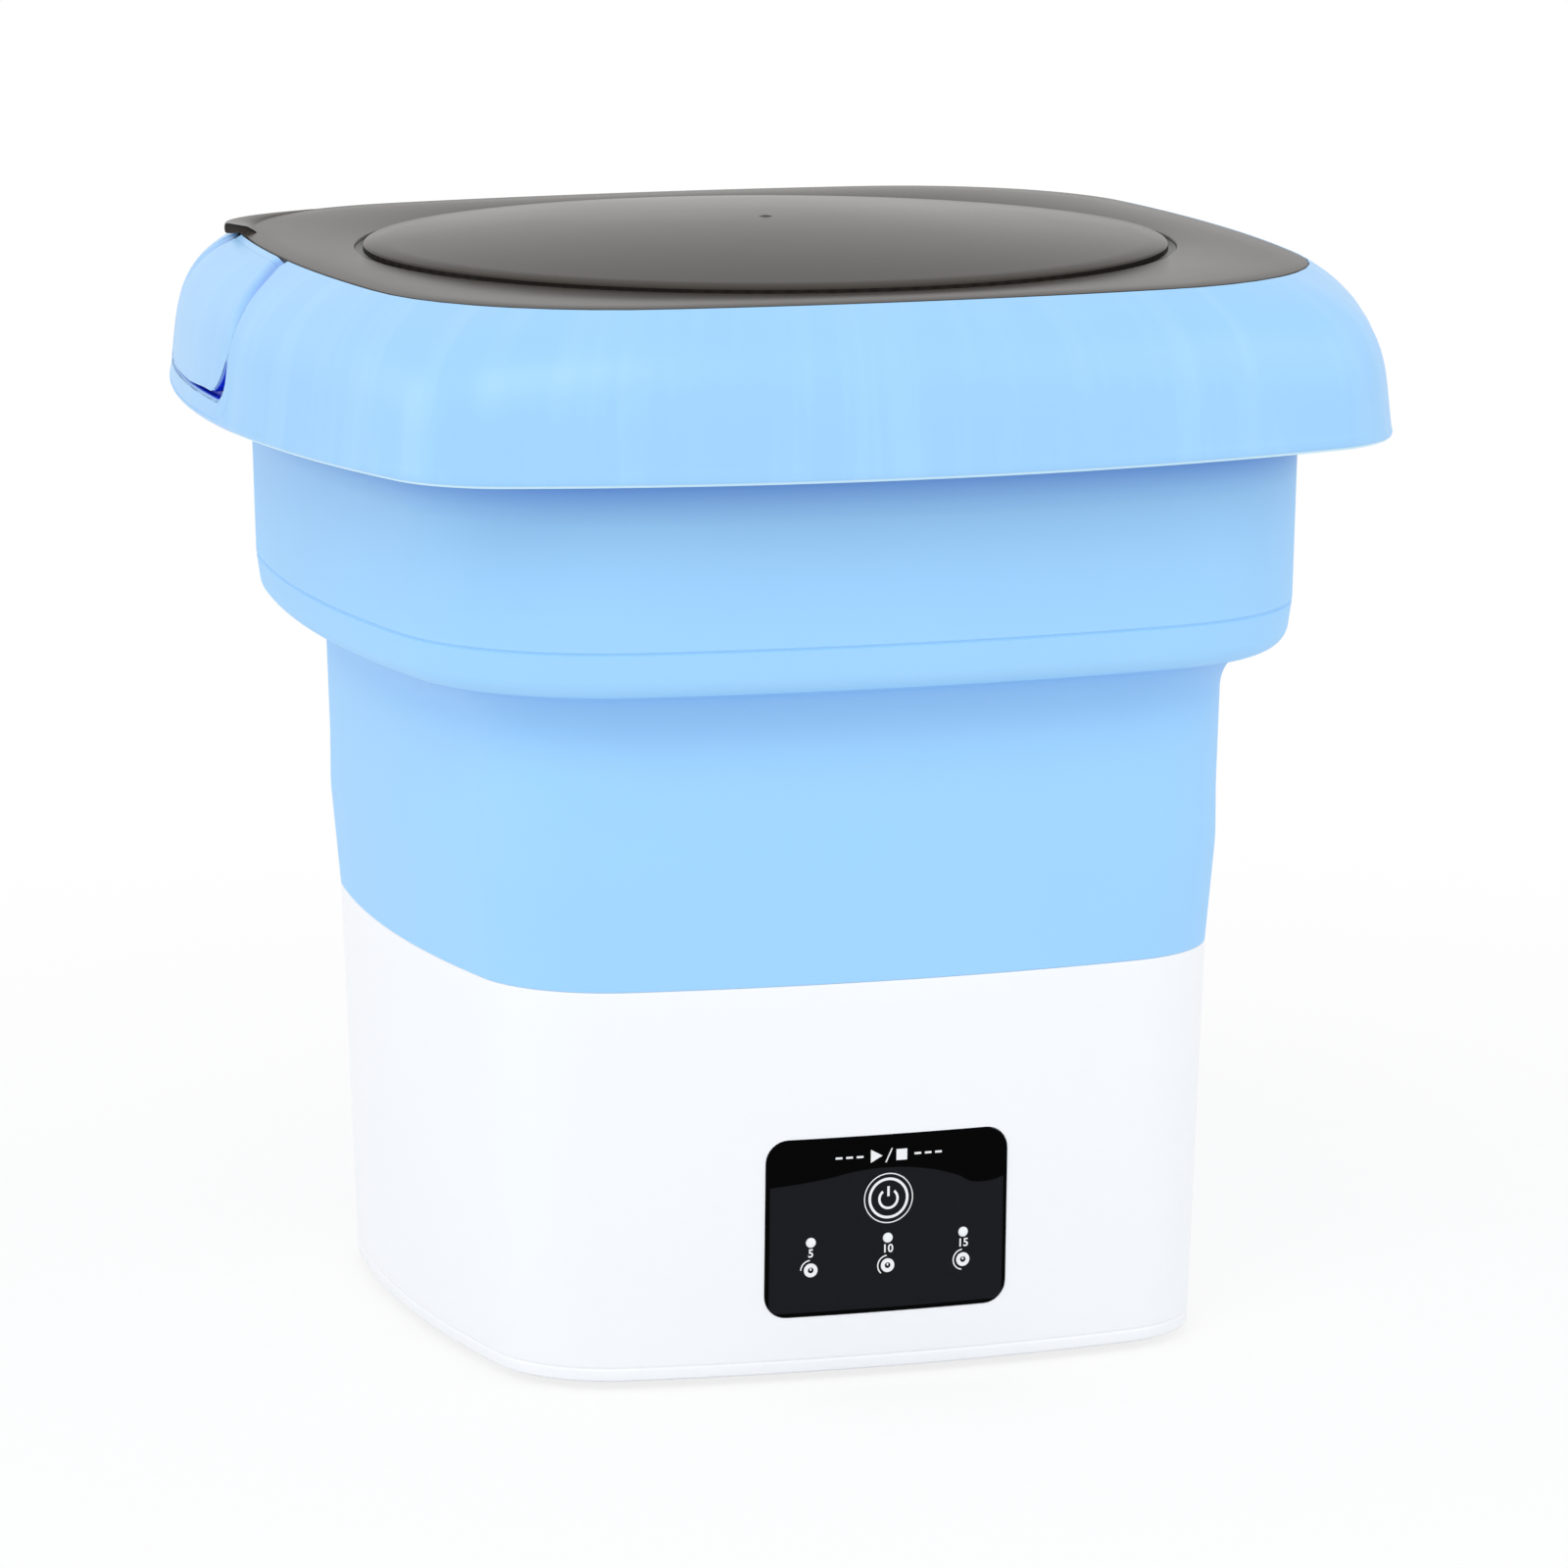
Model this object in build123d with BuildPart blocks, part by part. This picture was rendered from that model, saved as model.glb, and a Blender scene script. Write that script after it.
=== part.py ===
"""Folding bucket washer: a white base with the drive, a soft stepped tub wall that folds down,
a hard rim with a hinged carry handle, and a lift-off lid. Millimetres, +Z up, front at -Y.
The origin is on the floor under the middle of the base."""

import os
from math import asin, atan2, cos, pi, radians, sin, sqrt, tan

from build123d import *

os.makedirs("parts", exist_ok=True)

# Plan sizes: half widths at the middle of each side, radius of the bowed sides, corner radius
base_half = 113.6
base_side_radius = 485.0
base_corner_radius = 39.0
rim_overhang = 50.9
rim_half = base_half + rim_overhang
rim_side_radius = 413.0
rim_corner_radius = 38.0
lid_overhang = 27.7
lid_half = base_half + lid_overhang
lid_side_radius = 588.0
lid_corner_radius = 72.3
mouth_flare = 12.4
mouth_half = base_half + mouth_flare

# Heights, stacked from the floor
foot_height = 2.6
cover_thickness = 3.4
housing_height = 109.2
lower_tier_height = 75.0
step_height = 25.2
upper_tier_height = 48.6
skirt_height = 44.8
lid_thickness = 1.6
dome_rise = 8.0

# Walls and clearances
housing_wall = 2.6
housing_taper = 4.2
rim_wall = 2.6
bellows_wall = 2.4
pan_wall = 2.4
slip = 0.3
fit_gap = 0.05
run_gap = 0.03

# Base housing and tub pan
ledge_depth = 12.0
ledge_width = 4.4
ledge_thickness = 3.0
pan_floor_drop = 31.2
pan_floor_thickness = 2.6
post_spread = 78.0
post_radius = 5.0
cover_lip_height = 6.0
cover_lip_wall = 2.0
cover_inset = 1.0
foot_radius = 9.0
foot_x = 60.0
foot_y = 84.0
foot_edge = 1.0
foot_recess = 1.0

# Soft tub wall
tier_taper_height = 30.0
tier_flare = 2.8
tier_top_flare = 3.6
ledge_fillet_drop = 10.5
ledge_inner = 9.0
ledge_outer = 15.0
ledge_rise = 1.6
step_bottom_out = 21.6
step_bottom_rise = 17.6
upper_flare = 24.2
upper_top_flare = 25.7
crease_depth = 0.7
crease_width = 0.9
fold_split_height = 45.0
collar_height = 16.0
collar_rise = 4.0

# Rim, clamp ring and shoulder
skirt_draft = 1.6
skirt_straight = 15.0
shoulder_width = 22.7
seat_width = 30.0
web_thickness = 3.0
neck_wall = 2.6
clamp_wall = 2.5
clamp_height = 12.0
clamp_inset = 2.0
clamp_screw_spread = 60.0
screw_seat_depth = 0.8
web_inset = 1.0

# Lid
dome_radius = 118.5
groove_width = 2.4
groove_depth = 0.8
locator_height = 8.0
locator_wall = 2.2
gate_radius = 1.4
gate_height = 0.4
tab_front = 56.0
tab_back = 97.0
tab_reach = 140.5
tab_front_reach = 137.0
tab_root = 112.0
tab_radius = 5.0

# Carry handle in the left side of the skirt
handle_centre = 45.0
handle_half_length = 50.0
handle_top_half_length = 33.0
handle_straight = 13.0
handle_bottom_rise = 9.2
handle_corner = 6.0
handle_side_gap = 0.8
handle_bottom_gap = 1.3
handle_tuck = 23.0
handle_axis_in = 15.5
handle_axis_drop = 15.8
handle_ear_radius = 4.6
handle_ear_length = 6.0
handle_ear_inset = 6.0
handle_lug_radius = 4.4
handle_lug_length = 5.5
handle_pin_radius = 2.0
handle_swing_gap = 0.6
handle_back_gap = 4.0

# Control panel on the front of the base
panel_width = 71.9
panel_height = 51.1
panel_centre_z = 44.7
panel_corner = 5.0
panel_thickness = 2.0
panel_proud = 0.4
button_radius = 7.4
button_gap = 0.25
button_thickness = 1.2
button_z = 52.2
button_stem_radius = 2.5
button_travel = 0.7
led_z = 40.6
led_spacing = 22.7
led_radius = 1.5
board_width = 92.0
board_corner = 2.0
board_height = 42.0
board_thickness = 1.6
board_standoff = 8.0
board_screw_x = 27.0
board_screw_z = 16.0
board_post_radius = 3.0
switch_size = 6.0
switch_height = 3.5
switch_plunger = 1.0
switch_plunger_radius = 1.7
button_slack = 0.1
connector_z = 46.0
connector_height = 9.0
connector_depth = 7.0

# Drive: pulsator, shaft, gears and motor
shaft_radius = 4.0
bearing_radius = 7.0
bearing_length = 8.0
seal_radius = 9.0
seal_height = 5.0
hub_radius = 13.0
hub_rise = 6.0
gear_module = 1.0
gear_teeth = 48
pinion_overhang = 0.5
pinion_teeth = 12
gear_face = 7.0
gear_hub_rise = 2.0
gear_hub_radius = 9.0
gear_backlash = 0.2
gear_pressure = radians(20)
gear_addendum = 0.8
gear_dedendum = 1.15
gearbox_depth = 20.0
thrust_floor = 1.0
gearbox_floor = 3.0
gearbox_wall = 2.5
gearbox_clearance = 4.0
gearbox_ear_rim = 1.5
gearbox_ear_height = 10.0
motor_radius = 18.0
motor_length = 50.0
motor_wall = 1.5
motor_cap_length = 5.0
motor_boss_radius = 5.0
motor_boss_height = 2.0
motor_bushing_radius = 3.5
motor_shaft_radius = 1.6
motor_screw_spread = 11.0
rotor_radius = 12.3
rotor_length = 28.0
rotor_slots = 5
rotor_slot_place = 9.0
rotor_slot_width = 3.0
terminal_spread = 6.0
terminal_size = 4.0
magnet_thickness = 3.2
pulsator_radius = 70.0
pulsator_edge = 3.0
pulsator_gap = 2.0
pulsator_hub_height = 11.0
pulsator_hub_radius = 12.0
pulsator_recess = 3.0
pulsator_cap_rise = 1.0
pulsator_cap_edge = 0.8
pulsator_recess_radius = 6.0
pulsator_screw_length = 8.0
fin_count = 3
fin_inset = 2.0
fin_height = 6.0
fin_width = 7.0

# Drain and power at the back of the base
drain_x = -45.0
drain_y = 66.0
drain_z = 30.0
drain_radius = 8.5
drain_bore = 6.5
drain_flange = 12.0
drain_reach = 26.0
drain_bend = 16.0
strainer_holes = 6
strainer_radius = 11.0
strainer_thickness = 1.5
plug_length = 9.0
plug_head = 5.0
plug_head_radius = 8.0
plug_tab_thickness = 3.0
socket_x = 55.0
socket_z = 26.0
socket_radius = 6.5
socket_flange = 9.0
socket_bore = 2.75
socket_pin = 1.05
socket_depth = 9.0
socket_rim = 1.5

# Fasteners and wires
screw_radius = 1.4
screw_hole = 1.5
screw_head_radius = 2.8
screw_head_height = 2.0
cover_screw_length = 14.0
wire_radius = 0.9
wire_bend = 9.0
wire_lead = 26.0
wire_drop = 8.0

# Levels worked out from the heights
housing_bottom = foot_height + cover_thickness
housing_top = housing_bottom + housing_height
ledge_z = housing_top + lower_tier_height
crease_z = ledge_z + step_height
skirt_bottom = crease_z + upper_tier_height
rim_top = skirt_bottom + skirt_height
lid_top = rim_top + lid_thickness
seat_z = housing_top - ledge_depth
pan_floor_z = housing_top - pan_floor_drop
pan_top_z = pan_floor_z + pan_floor_thickness
split_z = housing_top + fold_split_height
collar_bottom = skirt_bottom + collar_rise
collar_top = collar_bottom + collar_height


class Outline:
    """A rounded square with bowed sides: four side arcs joined by four corner arcs."""

    def __init__(self, half, side_radius, corner_radius):
        self.half = half
        self.side_radius = side_radius
        self.corner_radius = corner_radius
        self.depth = side_radius - half
        reach = side_radius - corner_radius
        self.corner = (sqrt(2 * reach**2 - self.depth**2) - self.depth) / 2
        self.side_angle = atan2(self.corner, self.corner + self.depth)

    def grown(self, amount):
        """The parallel outline this far outside."""
        return Outline(self.half + amount, self.side_radius + amount, self.corner_radius + amount)

    def on_side(self, angle):
        """A point on the front side arc, at an angle from its middle."""
        return (self.side_radius * sin(angle), self.depth - self.side_radius * cos(angle))

    def draw(self):
        """Draw the closed outline from the middle of the front side, anticlockwise."""
        middle = self.on_side(0)
        end = self.on_side(self.side_angle)
        tip = self.corner + self.corner_radius / sqrt(2)
        ThreePointArc(middle, self.on_side(self.side_angle / 2), end)
        for turn in range(4):
            next_start = quarter_turned((-end[1], -end[0]), turn)
            ThreePointArc(quarter_turned(end, turn), quarter_turned((tip, -tip), turn), next_start)
            if turn < 3:
                ThreePointArc(next_start, quarter_turned(middle, turn + 1), quarter_turned(end, turn + 1))
        ThreePointArc(next_start, self.on_side(-self.side_angle / 2), middle)

    def section_plane(self):
        """The upright plane across the front side: x points outwards, y is the height."""
        return Plane(origin=(0, -self.half, 0), x_dir=(0, -1, 0), z_dir=(-1, 0, 0))


def quarter_turned(point, turns):
    """A point of the plan turned by quarter turns about the middle."""
    for _ in range(turns):
        point = (-point[1], point[0])
    return point


def path_of(outline):
    """The outline as a closed path for a sweep."""
    with BuildLine(mode=Mode.PRIVATE) as path:
        outline.draw()
    return path.wires()[0]


def draw_plate(outline, mode=Mode.ADD):
    """Fill the outline in the sketch being drawn, or cut it out."""
    make_face(path_of(outline).edges(), mode=mode)


def save(part, name):
    """Label a finished piece and write it."""
    part.label = name
    export_step(part, f"parts/{name}.step")


def four_corners(x, y):
    """The four places mirrored in X and Y."""
    return [(x, y), (-x, y), (-x, -y), (x, -y)]


def draw_gear(teeth, phase):
    """Draw an involute gear with stub teeth, one tooth centred at the phase angle in radians."""
    pitch = gear_module * teeth / 2
    base = pitch * cos(gear_pressure)
    tip = pitch + gear_addendum * gear_module
    root = pitch - gear_dedendum * gear_module

    def half_angle(radius):
        lean = sqrt(max((radius / base) ** 2 - 1, 0))
        involute = tan(gear_pressure) - gear_pressure - lean + atan2(lean, 1)
        return pi / (2 * teeth) + involute - gear_backlash / (2 * pitch)

    def spot(radius, angle):
        return (radius * cos(angle), radius * sin(angle))

    with BuildLine(mode=Mode.PRIVATE) as border:
        for tooth in range(teeth):
            middle = phase + 2 * pi * tooth / teeth
            rising = [spot(r, middle - half_angle(r)) for r in (root, pitch, tip)]
            falling = [spot(r, middle + half_angle(r)) for r in (tip, pitch, root)]
            valley = spot(root, middle + pi / teeth)
            following = spot(root, middle + 2 * pi / teeth - half_angle(root))
            ThreePointArc(*rising)
            ThreePointArc(rising[2], spot(tip, middle), falling[0])
            ThreePointArc(*falling)
            ThreePointArc(falling[2], valley, following)
    make_face(border.edges())


base_outline = Outline(base_half, base_side_radius, base_corner_radius)
rim_outline = Outline(rim_half, rim_side_radius, rim_corner_radius)
lid_outline = Outline(lid_half, lid_side_radius, lid_corner_radius)
base_path = path_of(base_outline)
rim_path = path_of(rim_outline)
base_section = base_outline.section_plane()
rim_section = rim_outline.section_plane()


def wall_offset(z):
    """How far the tapering base wall stands outside its top outline at a height."""
    return -housing_taper * (housing_top - z) / housing_height


def front_face(z):
    """The y of the base's front face at a height."""
    return -(base_half + wall_offset(z))


# Base housing: a tapering shell with a ledge inside that carries the tub pan
board_z = (button_z + led_z) / 2
board_front = front_face(board_z) + housing_wall + board_standoff
recess_depth = panel_thickness - panel_proud
recess_low = panel_centre_z - panel_height
recess_high = panel_centre_z + panel_height
inner_at_seat = wall_offset(seat_z) - housing_wall
back_wall_drain = -front_face(drain_z)
back_wall_socket = -front_face(socket_z)

with BuildPart() as panel_recess:
    with BuildSketch(base_section):
        with BuildLine():
            Polyline(
                (wall_offset(recess_low) - recess_depth, recess_low),
                (wall_offset(recess_low) + recess_depth, recess_low),
                (wall_offset(recess_high) + recess_depth, recess_high),
                (wall_offset(recess_high) - recess_depth, recess_high),
                close=True,
            )
        make_face()
    sweep(path=base_path)
    with BuildSketch(Plane.XZ):
        with Locations((0, panel_centre_z)):
            RectangleRounded(panel_width + 2 * slip, panel_height + 2 * slip, panel_corner + slip)
    extrude(amount=2 * base_half, mode=Mode.INTERSECT)

with BuildPart() as base_housing:
    with BuildSketch(base_section):
        with BuildLine():
            Polyline(
                (0, housing_top),
                (wall_offset(housing_bottom), housing_bottom),
                (wall_offset(housing_bottom) - housing_wall, housing_bottom),
                (wall_offset(seat_z - 2 * ledge_thickness) - housing_wall, seat_z - 2 * ledge_thickness),
                (inner_at_seat - ledge_width, seat_z - ledge_thickness),
                (inner_at_seat - ledge_width, seat_z),
                (inner_at_seat, seat_z),
                (-housing_wall, housing_top),
                close=True,
            )
        make_face()
    sweep(path=base_path)
    with BuildSketch(Plane.XZ.offset(-board_front)):
        with Locations((0, board_z)):
            with Locations(*four_corners(board_screw_x, board_screw_z)):
                Circle(board_post_radius)
    extrude(amount=board_standoff + housing_wall / 2)
    add(panel_recess.part, mode=Mode.SUBTRACT)
    with BuildSketch(Plane.XZ.offset(-board_front)):
        with Locations((0, board_z)):
            with Locations(*four_corners(board_screw_x, board_screw_z)):
                Circle(screw_hole)
    extrude(amount=board_standoff - screw_radius, mode=Mode.SUBTRACT)
    with BuildSketch(Plane.XZ):
        with Locations((0, button_z)):
            Circle(button_stem_radius + slip)
        with Locations((-led_spacing, led_z), (0, led_z), (led_spacing, led_z)):
            Circle(led_radius + slip)
    extrude(amount=2 * base_half, mode=Mode.SUBTRACT)
    with BuildSketch(Plane.XZ):
        with Locations((drain_x, drain_z)):
            Circle(drain_radius + slip)
        with Locations((socket_x, socket_z)):
            Circle(socket_radius + fit_gap)
    extrude(amount=-2 * base_half, mode=Mode.SUBTRACT)
save(base_housing.part, "base_housing")

# Bottom cover: a plate a little inside the housing's edge, with a lip that locates it
lip_outline = base_outline.grown(wall_offset(housing_bottom) - housing_wall - slip)
with BuildPart() as bottom_cover:
    with BuildSketch(Plane.XY.offset(foot_height)):
        draw_plate(base_outline.grown(wall_offset(housing_bottom) - cover_inset))
    extrude(amount=cover_thickness)
    with BuildSketch(Plane.XY.offset(housing_bottom)):
        draw_plate(lip_outline)
        draw_plate(lip_outline.grown(-cover_lip_wall), Mode.SUBTRACT)
    extrude(amount=cover_lip_height)
    with Locations(*[(x, y, foot_height) for x, y in four_corners(post_spread, post_spread)]):
        Cylinder(
            screw_head_radius + slip, screw_head_height,
            align=(Align.CENTER, Align.CENTER, Align.MIN), mode=Mode.SUBTRACT,
        )
        Cylinder(
            screw_hole, cover_thickness,
            align=(Align.CENTER, Align.CENTER, Align.MIN), mode=Mode.SUBTRACT,
        )
    with Locations(*[(x, y, foot_height) for x, y in four_corners(foot_x, foot_y)]):
        Cylinder(
            foot_radius + fit_gap, foot_recess,
            align=(Align.CENTER, Align.CENTER, Align.MIN), mode=Mode.SUBTRACT,
        )
save(bottom_cover.part, "bottom_cover")

with BuildPart() as rubber_feet:
    with Locations(*[(x, y, 0) for x, y in four_corners(foot_x, foot_y)]):
        Cylinder(foot_radius, foot_height + foot_recess, align=(Align.CENTER, Align.CENTER, Align.MIN))
    fillet(rubber_feet.edges().group_by(Axis.Z)[0], foot_edge)
save(rubber_feet.part, "rubber_feet")

with BuildPart() as cover_screws:
    with Locations(*[(x, y, foot_height + fit_gap) for x, y in four_corners(post_spread, post_spread)]):
        Cylinder(
            screw_head_radius, screw_head_height - fit_gap,
            align=(Align.CENTER, Align.CENTER, Align.MIN),
        )
        Cylinder(screw_radius, cover_screw_length, align=(Align.CENTER, Align.CENTER, Align.MIN))
save(cover_screws.part, "cover_screws")

# Tub pan: floor, stepped wall, shaft hub, posts down to the bottom cover and gearbox bosses
pan_upper = inner_at_seat - slip - bellows_wall - slip
pan_lower = inner_at_seat - ledge_width - slip
seal_top = pan_top_z + hub_rise
bearing_low = seal_top - seal_height - bearing_length
gear_centre = gear_module * (gear_teeth + pinion_teeth) / 2
gearbox_inner = gear_module * gear_teeth / 2 + gearbox_clearance
gearbox_end = motor_radius + fit_gap + gearbox_wall
ear_offset = gearbox_wall + post_radius + slip
ear_end = gearbox_end - gearbox_wall + ear_offset
gearbox_ears = [
    (-(gearbox_inner + ear_offset) * cos(pi / 4), (gearbox_inner + ear_offset) * sin(pi / 4)),
    (-(gearbox_inner + ear_offset) * cos(pi / 4), -(gearbox_inner + ear_offset) * sin(pi / 4)),
    (gear_centre + ear_end * cos(pi / 4), ear_end * sin(pi / 4)),
    (gear_centre + ear_end * cos(pi / 4), -ear_end * sin(pi / 4)),
]
gearbox_bottom = pan_floor_z - gearbox_depth
gearbox_plate_top = gearbox_bottom + gearbox_floor
ear_top = gearbox_bottom + gearbox_ear_height

with BuildPart() as tub_pan:
    with BuildSketch(base_section):
        with BuildLine():
            Polyline(
                (pan_lower, pan_floor_z),
                (pan_lower, seat_z),
                (pan_upper, seat_z),
                (pan_upper, housing_top),
                (pan_upper - pan_wall, housing_top),
                (pan_upper - pan_wall, seat_z + pan_wall),
                (pan_lower - pan_wall, seat_z + pan_wall),
                (pan_lower - pan_wall, pan_floor_z),
                close=True,
            )
        make_face()
    sweep(path=base_path)
    with BuildSketch(Plane.XY.offset(pan_floor_z)):
        draw_plate(base_outline.grown(pan_lower - pan_wall / 2))
    extrude(amount=pan_floor_thickness)
    with BuildSketch(Plane.XY.offset(seal_top)):
        Circle(hub_radius)
    extrude(amount=-(seal_top - bearing_low))
    with BuildSketch(Plane.XY.offset(pan_floor_z)):
        with Locations(*four_corners(post_spread, post_spread)):
            Circle(post_radius)
    extrude(amount=-(pan_floor_z - housing_bottom))
    with BuildSketch(Plane.XY.offset(pan_floor_z)):
        with Locations(*gearbox_ears):
            Circle(post_radius)
    extrude(amount=-(pan_floor_z - ear_top))
    with BuildSketch(Plane.XY.offset(housing_bottom)):
        with Locations(*four_corners(post_spread, post_spread)):
            Circle(screw_hole)
    extrude(amount=cover_screw_length, mode=Mode.SUBTRACT)
    with BuildSketch(Plane.XY.offset(ear_top)):
        with Locations(*gearbox_ears):
            Circle(screw_hole)
    extrude(amount=pan_floor_z - ear_top, mode=Mode.SUBTRACT)
    with BuildSketch(Plane.XY.offset(seal_top)):
        Circle(seal_radius)
    extrude(amount=-seal_height, mode=Mode.SUBTRACT)
    with BuildSketch(Plane.XY.offset(bearing_low)):
        Circle(bearing_radius + fit_gap)
    extrude(amount=bearing_length, mode=Mode.SUBTRACT)
    with BuildSketch(Plane.XY.offset(pan_floor_z)):
        with Locations((drain_x, drain_y)):
            Circle(drain_bore)
    extrude(amount=pan_floor_thickness, mode=Mode.SUBTRACT)
save(tub_pan.part, "tub_pan")

# Soft tub wall, outer face first; the fold splits it into a base half and a rim half
tongue_out = inner_at_seat - slip
tier_taper_z = housing_top + tier_taper_height
neck_outer = mouth_half - base_half + neck_wall
collar_out = neck_outer + fit_gap + bellows_wall
clamp_bottom = collar_bottom + clamp_inset
clamp_middle = clamp_bottom + clamp_height / 2
clamp_inner = collar_out + fit_gap
clamp_outer = clamp_inner + clamp_wall
clamp_face = base_outline.grown(clamp_outer)
clamp_angle = asin(clamp_screw_spread / clamp_face.side_radius)
screw_seat = -clamp_face.on_side(clamp_angle)[1] - screw_seat_depth
clamp_screw_length = clamp_wall + bellows_wall + neck_wall - 2 * screw_seat_depth
side_planes = [
    Plane(
        origin=(0, 0, 0),
        x_dir=(*quarter_turned((1, 0), turn), 0),
        z_dir=(*quarter_turned((0, -1), turn), 0),
    )
    for turn in range(4)
]
clamp_spots = [(-clamp_screw_spread, clamp_middle), (clamp_screw_spread, clamp_middle)]

with BuildPart() as clamp_screw_holes:
    for side_plane in side_planes:
        with BuildSketch(side_plane.offset(screw_seat)):
            with Locations(*clamp_spots):
                Circle(screw_hole)
        extrude(amount=-clamp_screw_length)

with BuildPart() as bellows_lower:
    with BuildSketch(base_section):
        with BuildLine():
            Polyline(
                (0, housing_top),
                (tongue_out, housing_top),
                (tongue_out, seat_z),
                (tongue_out - bellows_wall, seat_z),
                (tongue_out - bellows_wall, housing_top + bellows_wall),
                (tier_flare - bellows_wall, tier_taper_z),
                (tier_flare - bellows_wall, split_z),
                (tier_flare, split_z),
                (tier_flare, tier_taper_z),
                close=True,
            )
        make_face()
    sweep(path=base_path)
save(bellows_lower.part, "bellows_lower")

with BuildPart() as bellows_upper:
    with BuildSketch(base_section):
        with BuildLine():
            tier = Line((tier_flare, split_z), (tier_top_flare, ledge_z))
            concave = TangentArc(tier @ 1, (ledge_inner, ledge_z + ledge_fillet_drop), tangent=tier % 1)
            shelf = Line(concave @ 1, (ledge_outer, ledge_z + ledge_fillet_drop + ledge_rise))
            convex = TangentArc(shelf @ 1, (step_bottom_out, ledge_z + step_bottom_rise), tangent=shelf % 1)
            lift = Line(convex @ 1, (upper_flare, crease_z))
            rise = Line(lift @ 1, (upper_top_flare, skirt_bottom))
            Polyline(rise @ 1, (collar_out, collar_bottom), (collar_out, collar_top))
            offset(amount=bellows_wall, side=Side.LEFT)
        make_face()
    sweep(path=base_path)
    with BuildSketch(base_section):
        with Locations((upper_flare, crease_z)):
            Rectangle(2 * crease_depth, crease_width)
    sweep(path=base_path, mode=Mode.SUBTRACT)
    add(clamp_screw_holes.part, mode=Mode.SUBTRACT)
save(bellows_upper.part, "bellows_upper")

# Rim frame: curved skirt, flat lid seat and a neck that the soft wall's collar fits round
mouth_outline = base_outline.grown(mouth_half - base_half)
handle_angle = asin(handle_centre / rim_side_radius)
handle_out = (-cos(handle_angle), sin(handle_angle), 0)
handle_along = (sin(handle_angle), cos(handle_angle), 0)
handle_plane = Plane(
    origin=(
        rim_outline.depth + rim_side_radius * handle_out[0],
        rim_side_radius * handle_out[1],
        0,
    ),
    x_dir=(-handle_along[0], -handle_along[1], 0),
    z_dir=handle_out,
)
handle_axis_z = rim_top - handle_axis_drop
handle_axis_plane = Plane(
    origin=handle_plane.from_local_coords((0, handle_axis_z, -handle_axis_in)),
    x_dir=handle_out,
    z_dir=handle_along,
)
handle_swing = sqrt((handle_tuck - handle_axis_in) ** 2 + handle_axis_drop**2) + handle_swing_gap
ear_start = handle_half_length - handle_ear_inset - handle_ear_length
lug_start = handle_half_length + 2 * handle_side_gap
lug_end = lug_start + handle_lug_length


def draw_flap(side_gap, bottom_gap):
    """Fill the handle's face in the sketch being drawn, grown by a gap at its sides and bottom."""
    half = handle_half_length + side_gap
    top_half = handle_top_half_length + side_gap
    bottom = skirt_bottom + handle_bottom_rise - bottom_gap
    shoulder_z = skirt_bottom + handle_bottom_rise + handle_straight
    corner = handle_corner + bottom_gap
    with BuildLine(mode=Mode.PRIVATE) as border:
        Line((-half, shoulder_z), (-half, bottom + corner))
        RadiusArc((-half, bottom + corner), (-half + corner, bottom), -corner)
        Line((-half + corner, bottom), (half - corner, bottom))
        RadiusArc((half - corner, bottom), (half, bottom + corner), -corner)
        Line((half, bottom + corner), (half, shoulder_z))
        TangentArc((half, shoulder_z), (top_half, rim_top), tangent=(0, 1))
        Polyline(
            (top_half, rim_top),
            (top_half, rim_top + handle_tuck),
            (-top_half, rim_top + handle_tuck),
            (-top_half, rim_top),
        )
        TangentArc((-half, shoulder_z), (-top_half, rim_top), tangent=(0, 1))
    make_face(border.edges())


with BuildPart() as skirt_shell:
    with BuildSketch(rim_section):
        with BuildLine():
            side = Line((0, skirt_bottom), (-skirt_draft, skirt_bottom + skirt_straight))
            shoulder = TangentArc(side @ 1, (-shoulder_width, rim_top), tangent=side % 1)
            Line(shoulder @ 1, (-seat_width, rim_top))
            offset(amount=rim_wall, side=Side.LEFT)
        make_face()
    sweep(path=rim_path)

with BuildPart() as rim_frame:
    add(skirt_shell.part)
    with BuildSketch(Plane.XY.offset(rim_top)):
        draw_plate(lid_outline.grown(-web_inset))
        draw_plate(mouth_outline, Mode.SUBTRACT)
    extrude(amount=-web_thickness)
    with BuildSketch(handle_plane.offset(-handle_tuck - handle_back_gap)):
        draw_flap(handle_side_gap, handle_bottom_gap)
    extrude(amount=handle_tuck + rim_wall + handle_back_gap, mode=Mode.SUBTRACT)
    with BuildSketch(handle_axis_plane.offset(-handle_top_half_length - handle_side_gap)):
        Circle(handle_swing)
    extrude(amount=2 * (handle_top_half_length + handle_side_gap), mode=Mode.SUBTRACT)
    with BuildSketch(base_section):
        with Locations((neck_outer, collar_bottom)):
            Rectangle(neck_wall, rim_top - collar_bottom, align=(Align.MAX, Align.MIN))
    sweep(path=base_path)
    for start in (lug_start, -lug_end):
        with BuildSketch(handle_axis_plane.offset(start)):
            Circle(handle_lug_radius)
        extrude(amount=handle_lug_length)
    with BuildSketch(handle_axis_plane.offset(-lug_end)):
        Circle(handle_pin_radius + fit_gap)
    extrude(amount=2 * lug_end, mode=Mode.SUBTRACT)
    add(clamp_screw_holes.part, mode=Mode.SUBTRACT)
save(rim_frame.part, "rim_frame")

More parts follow.
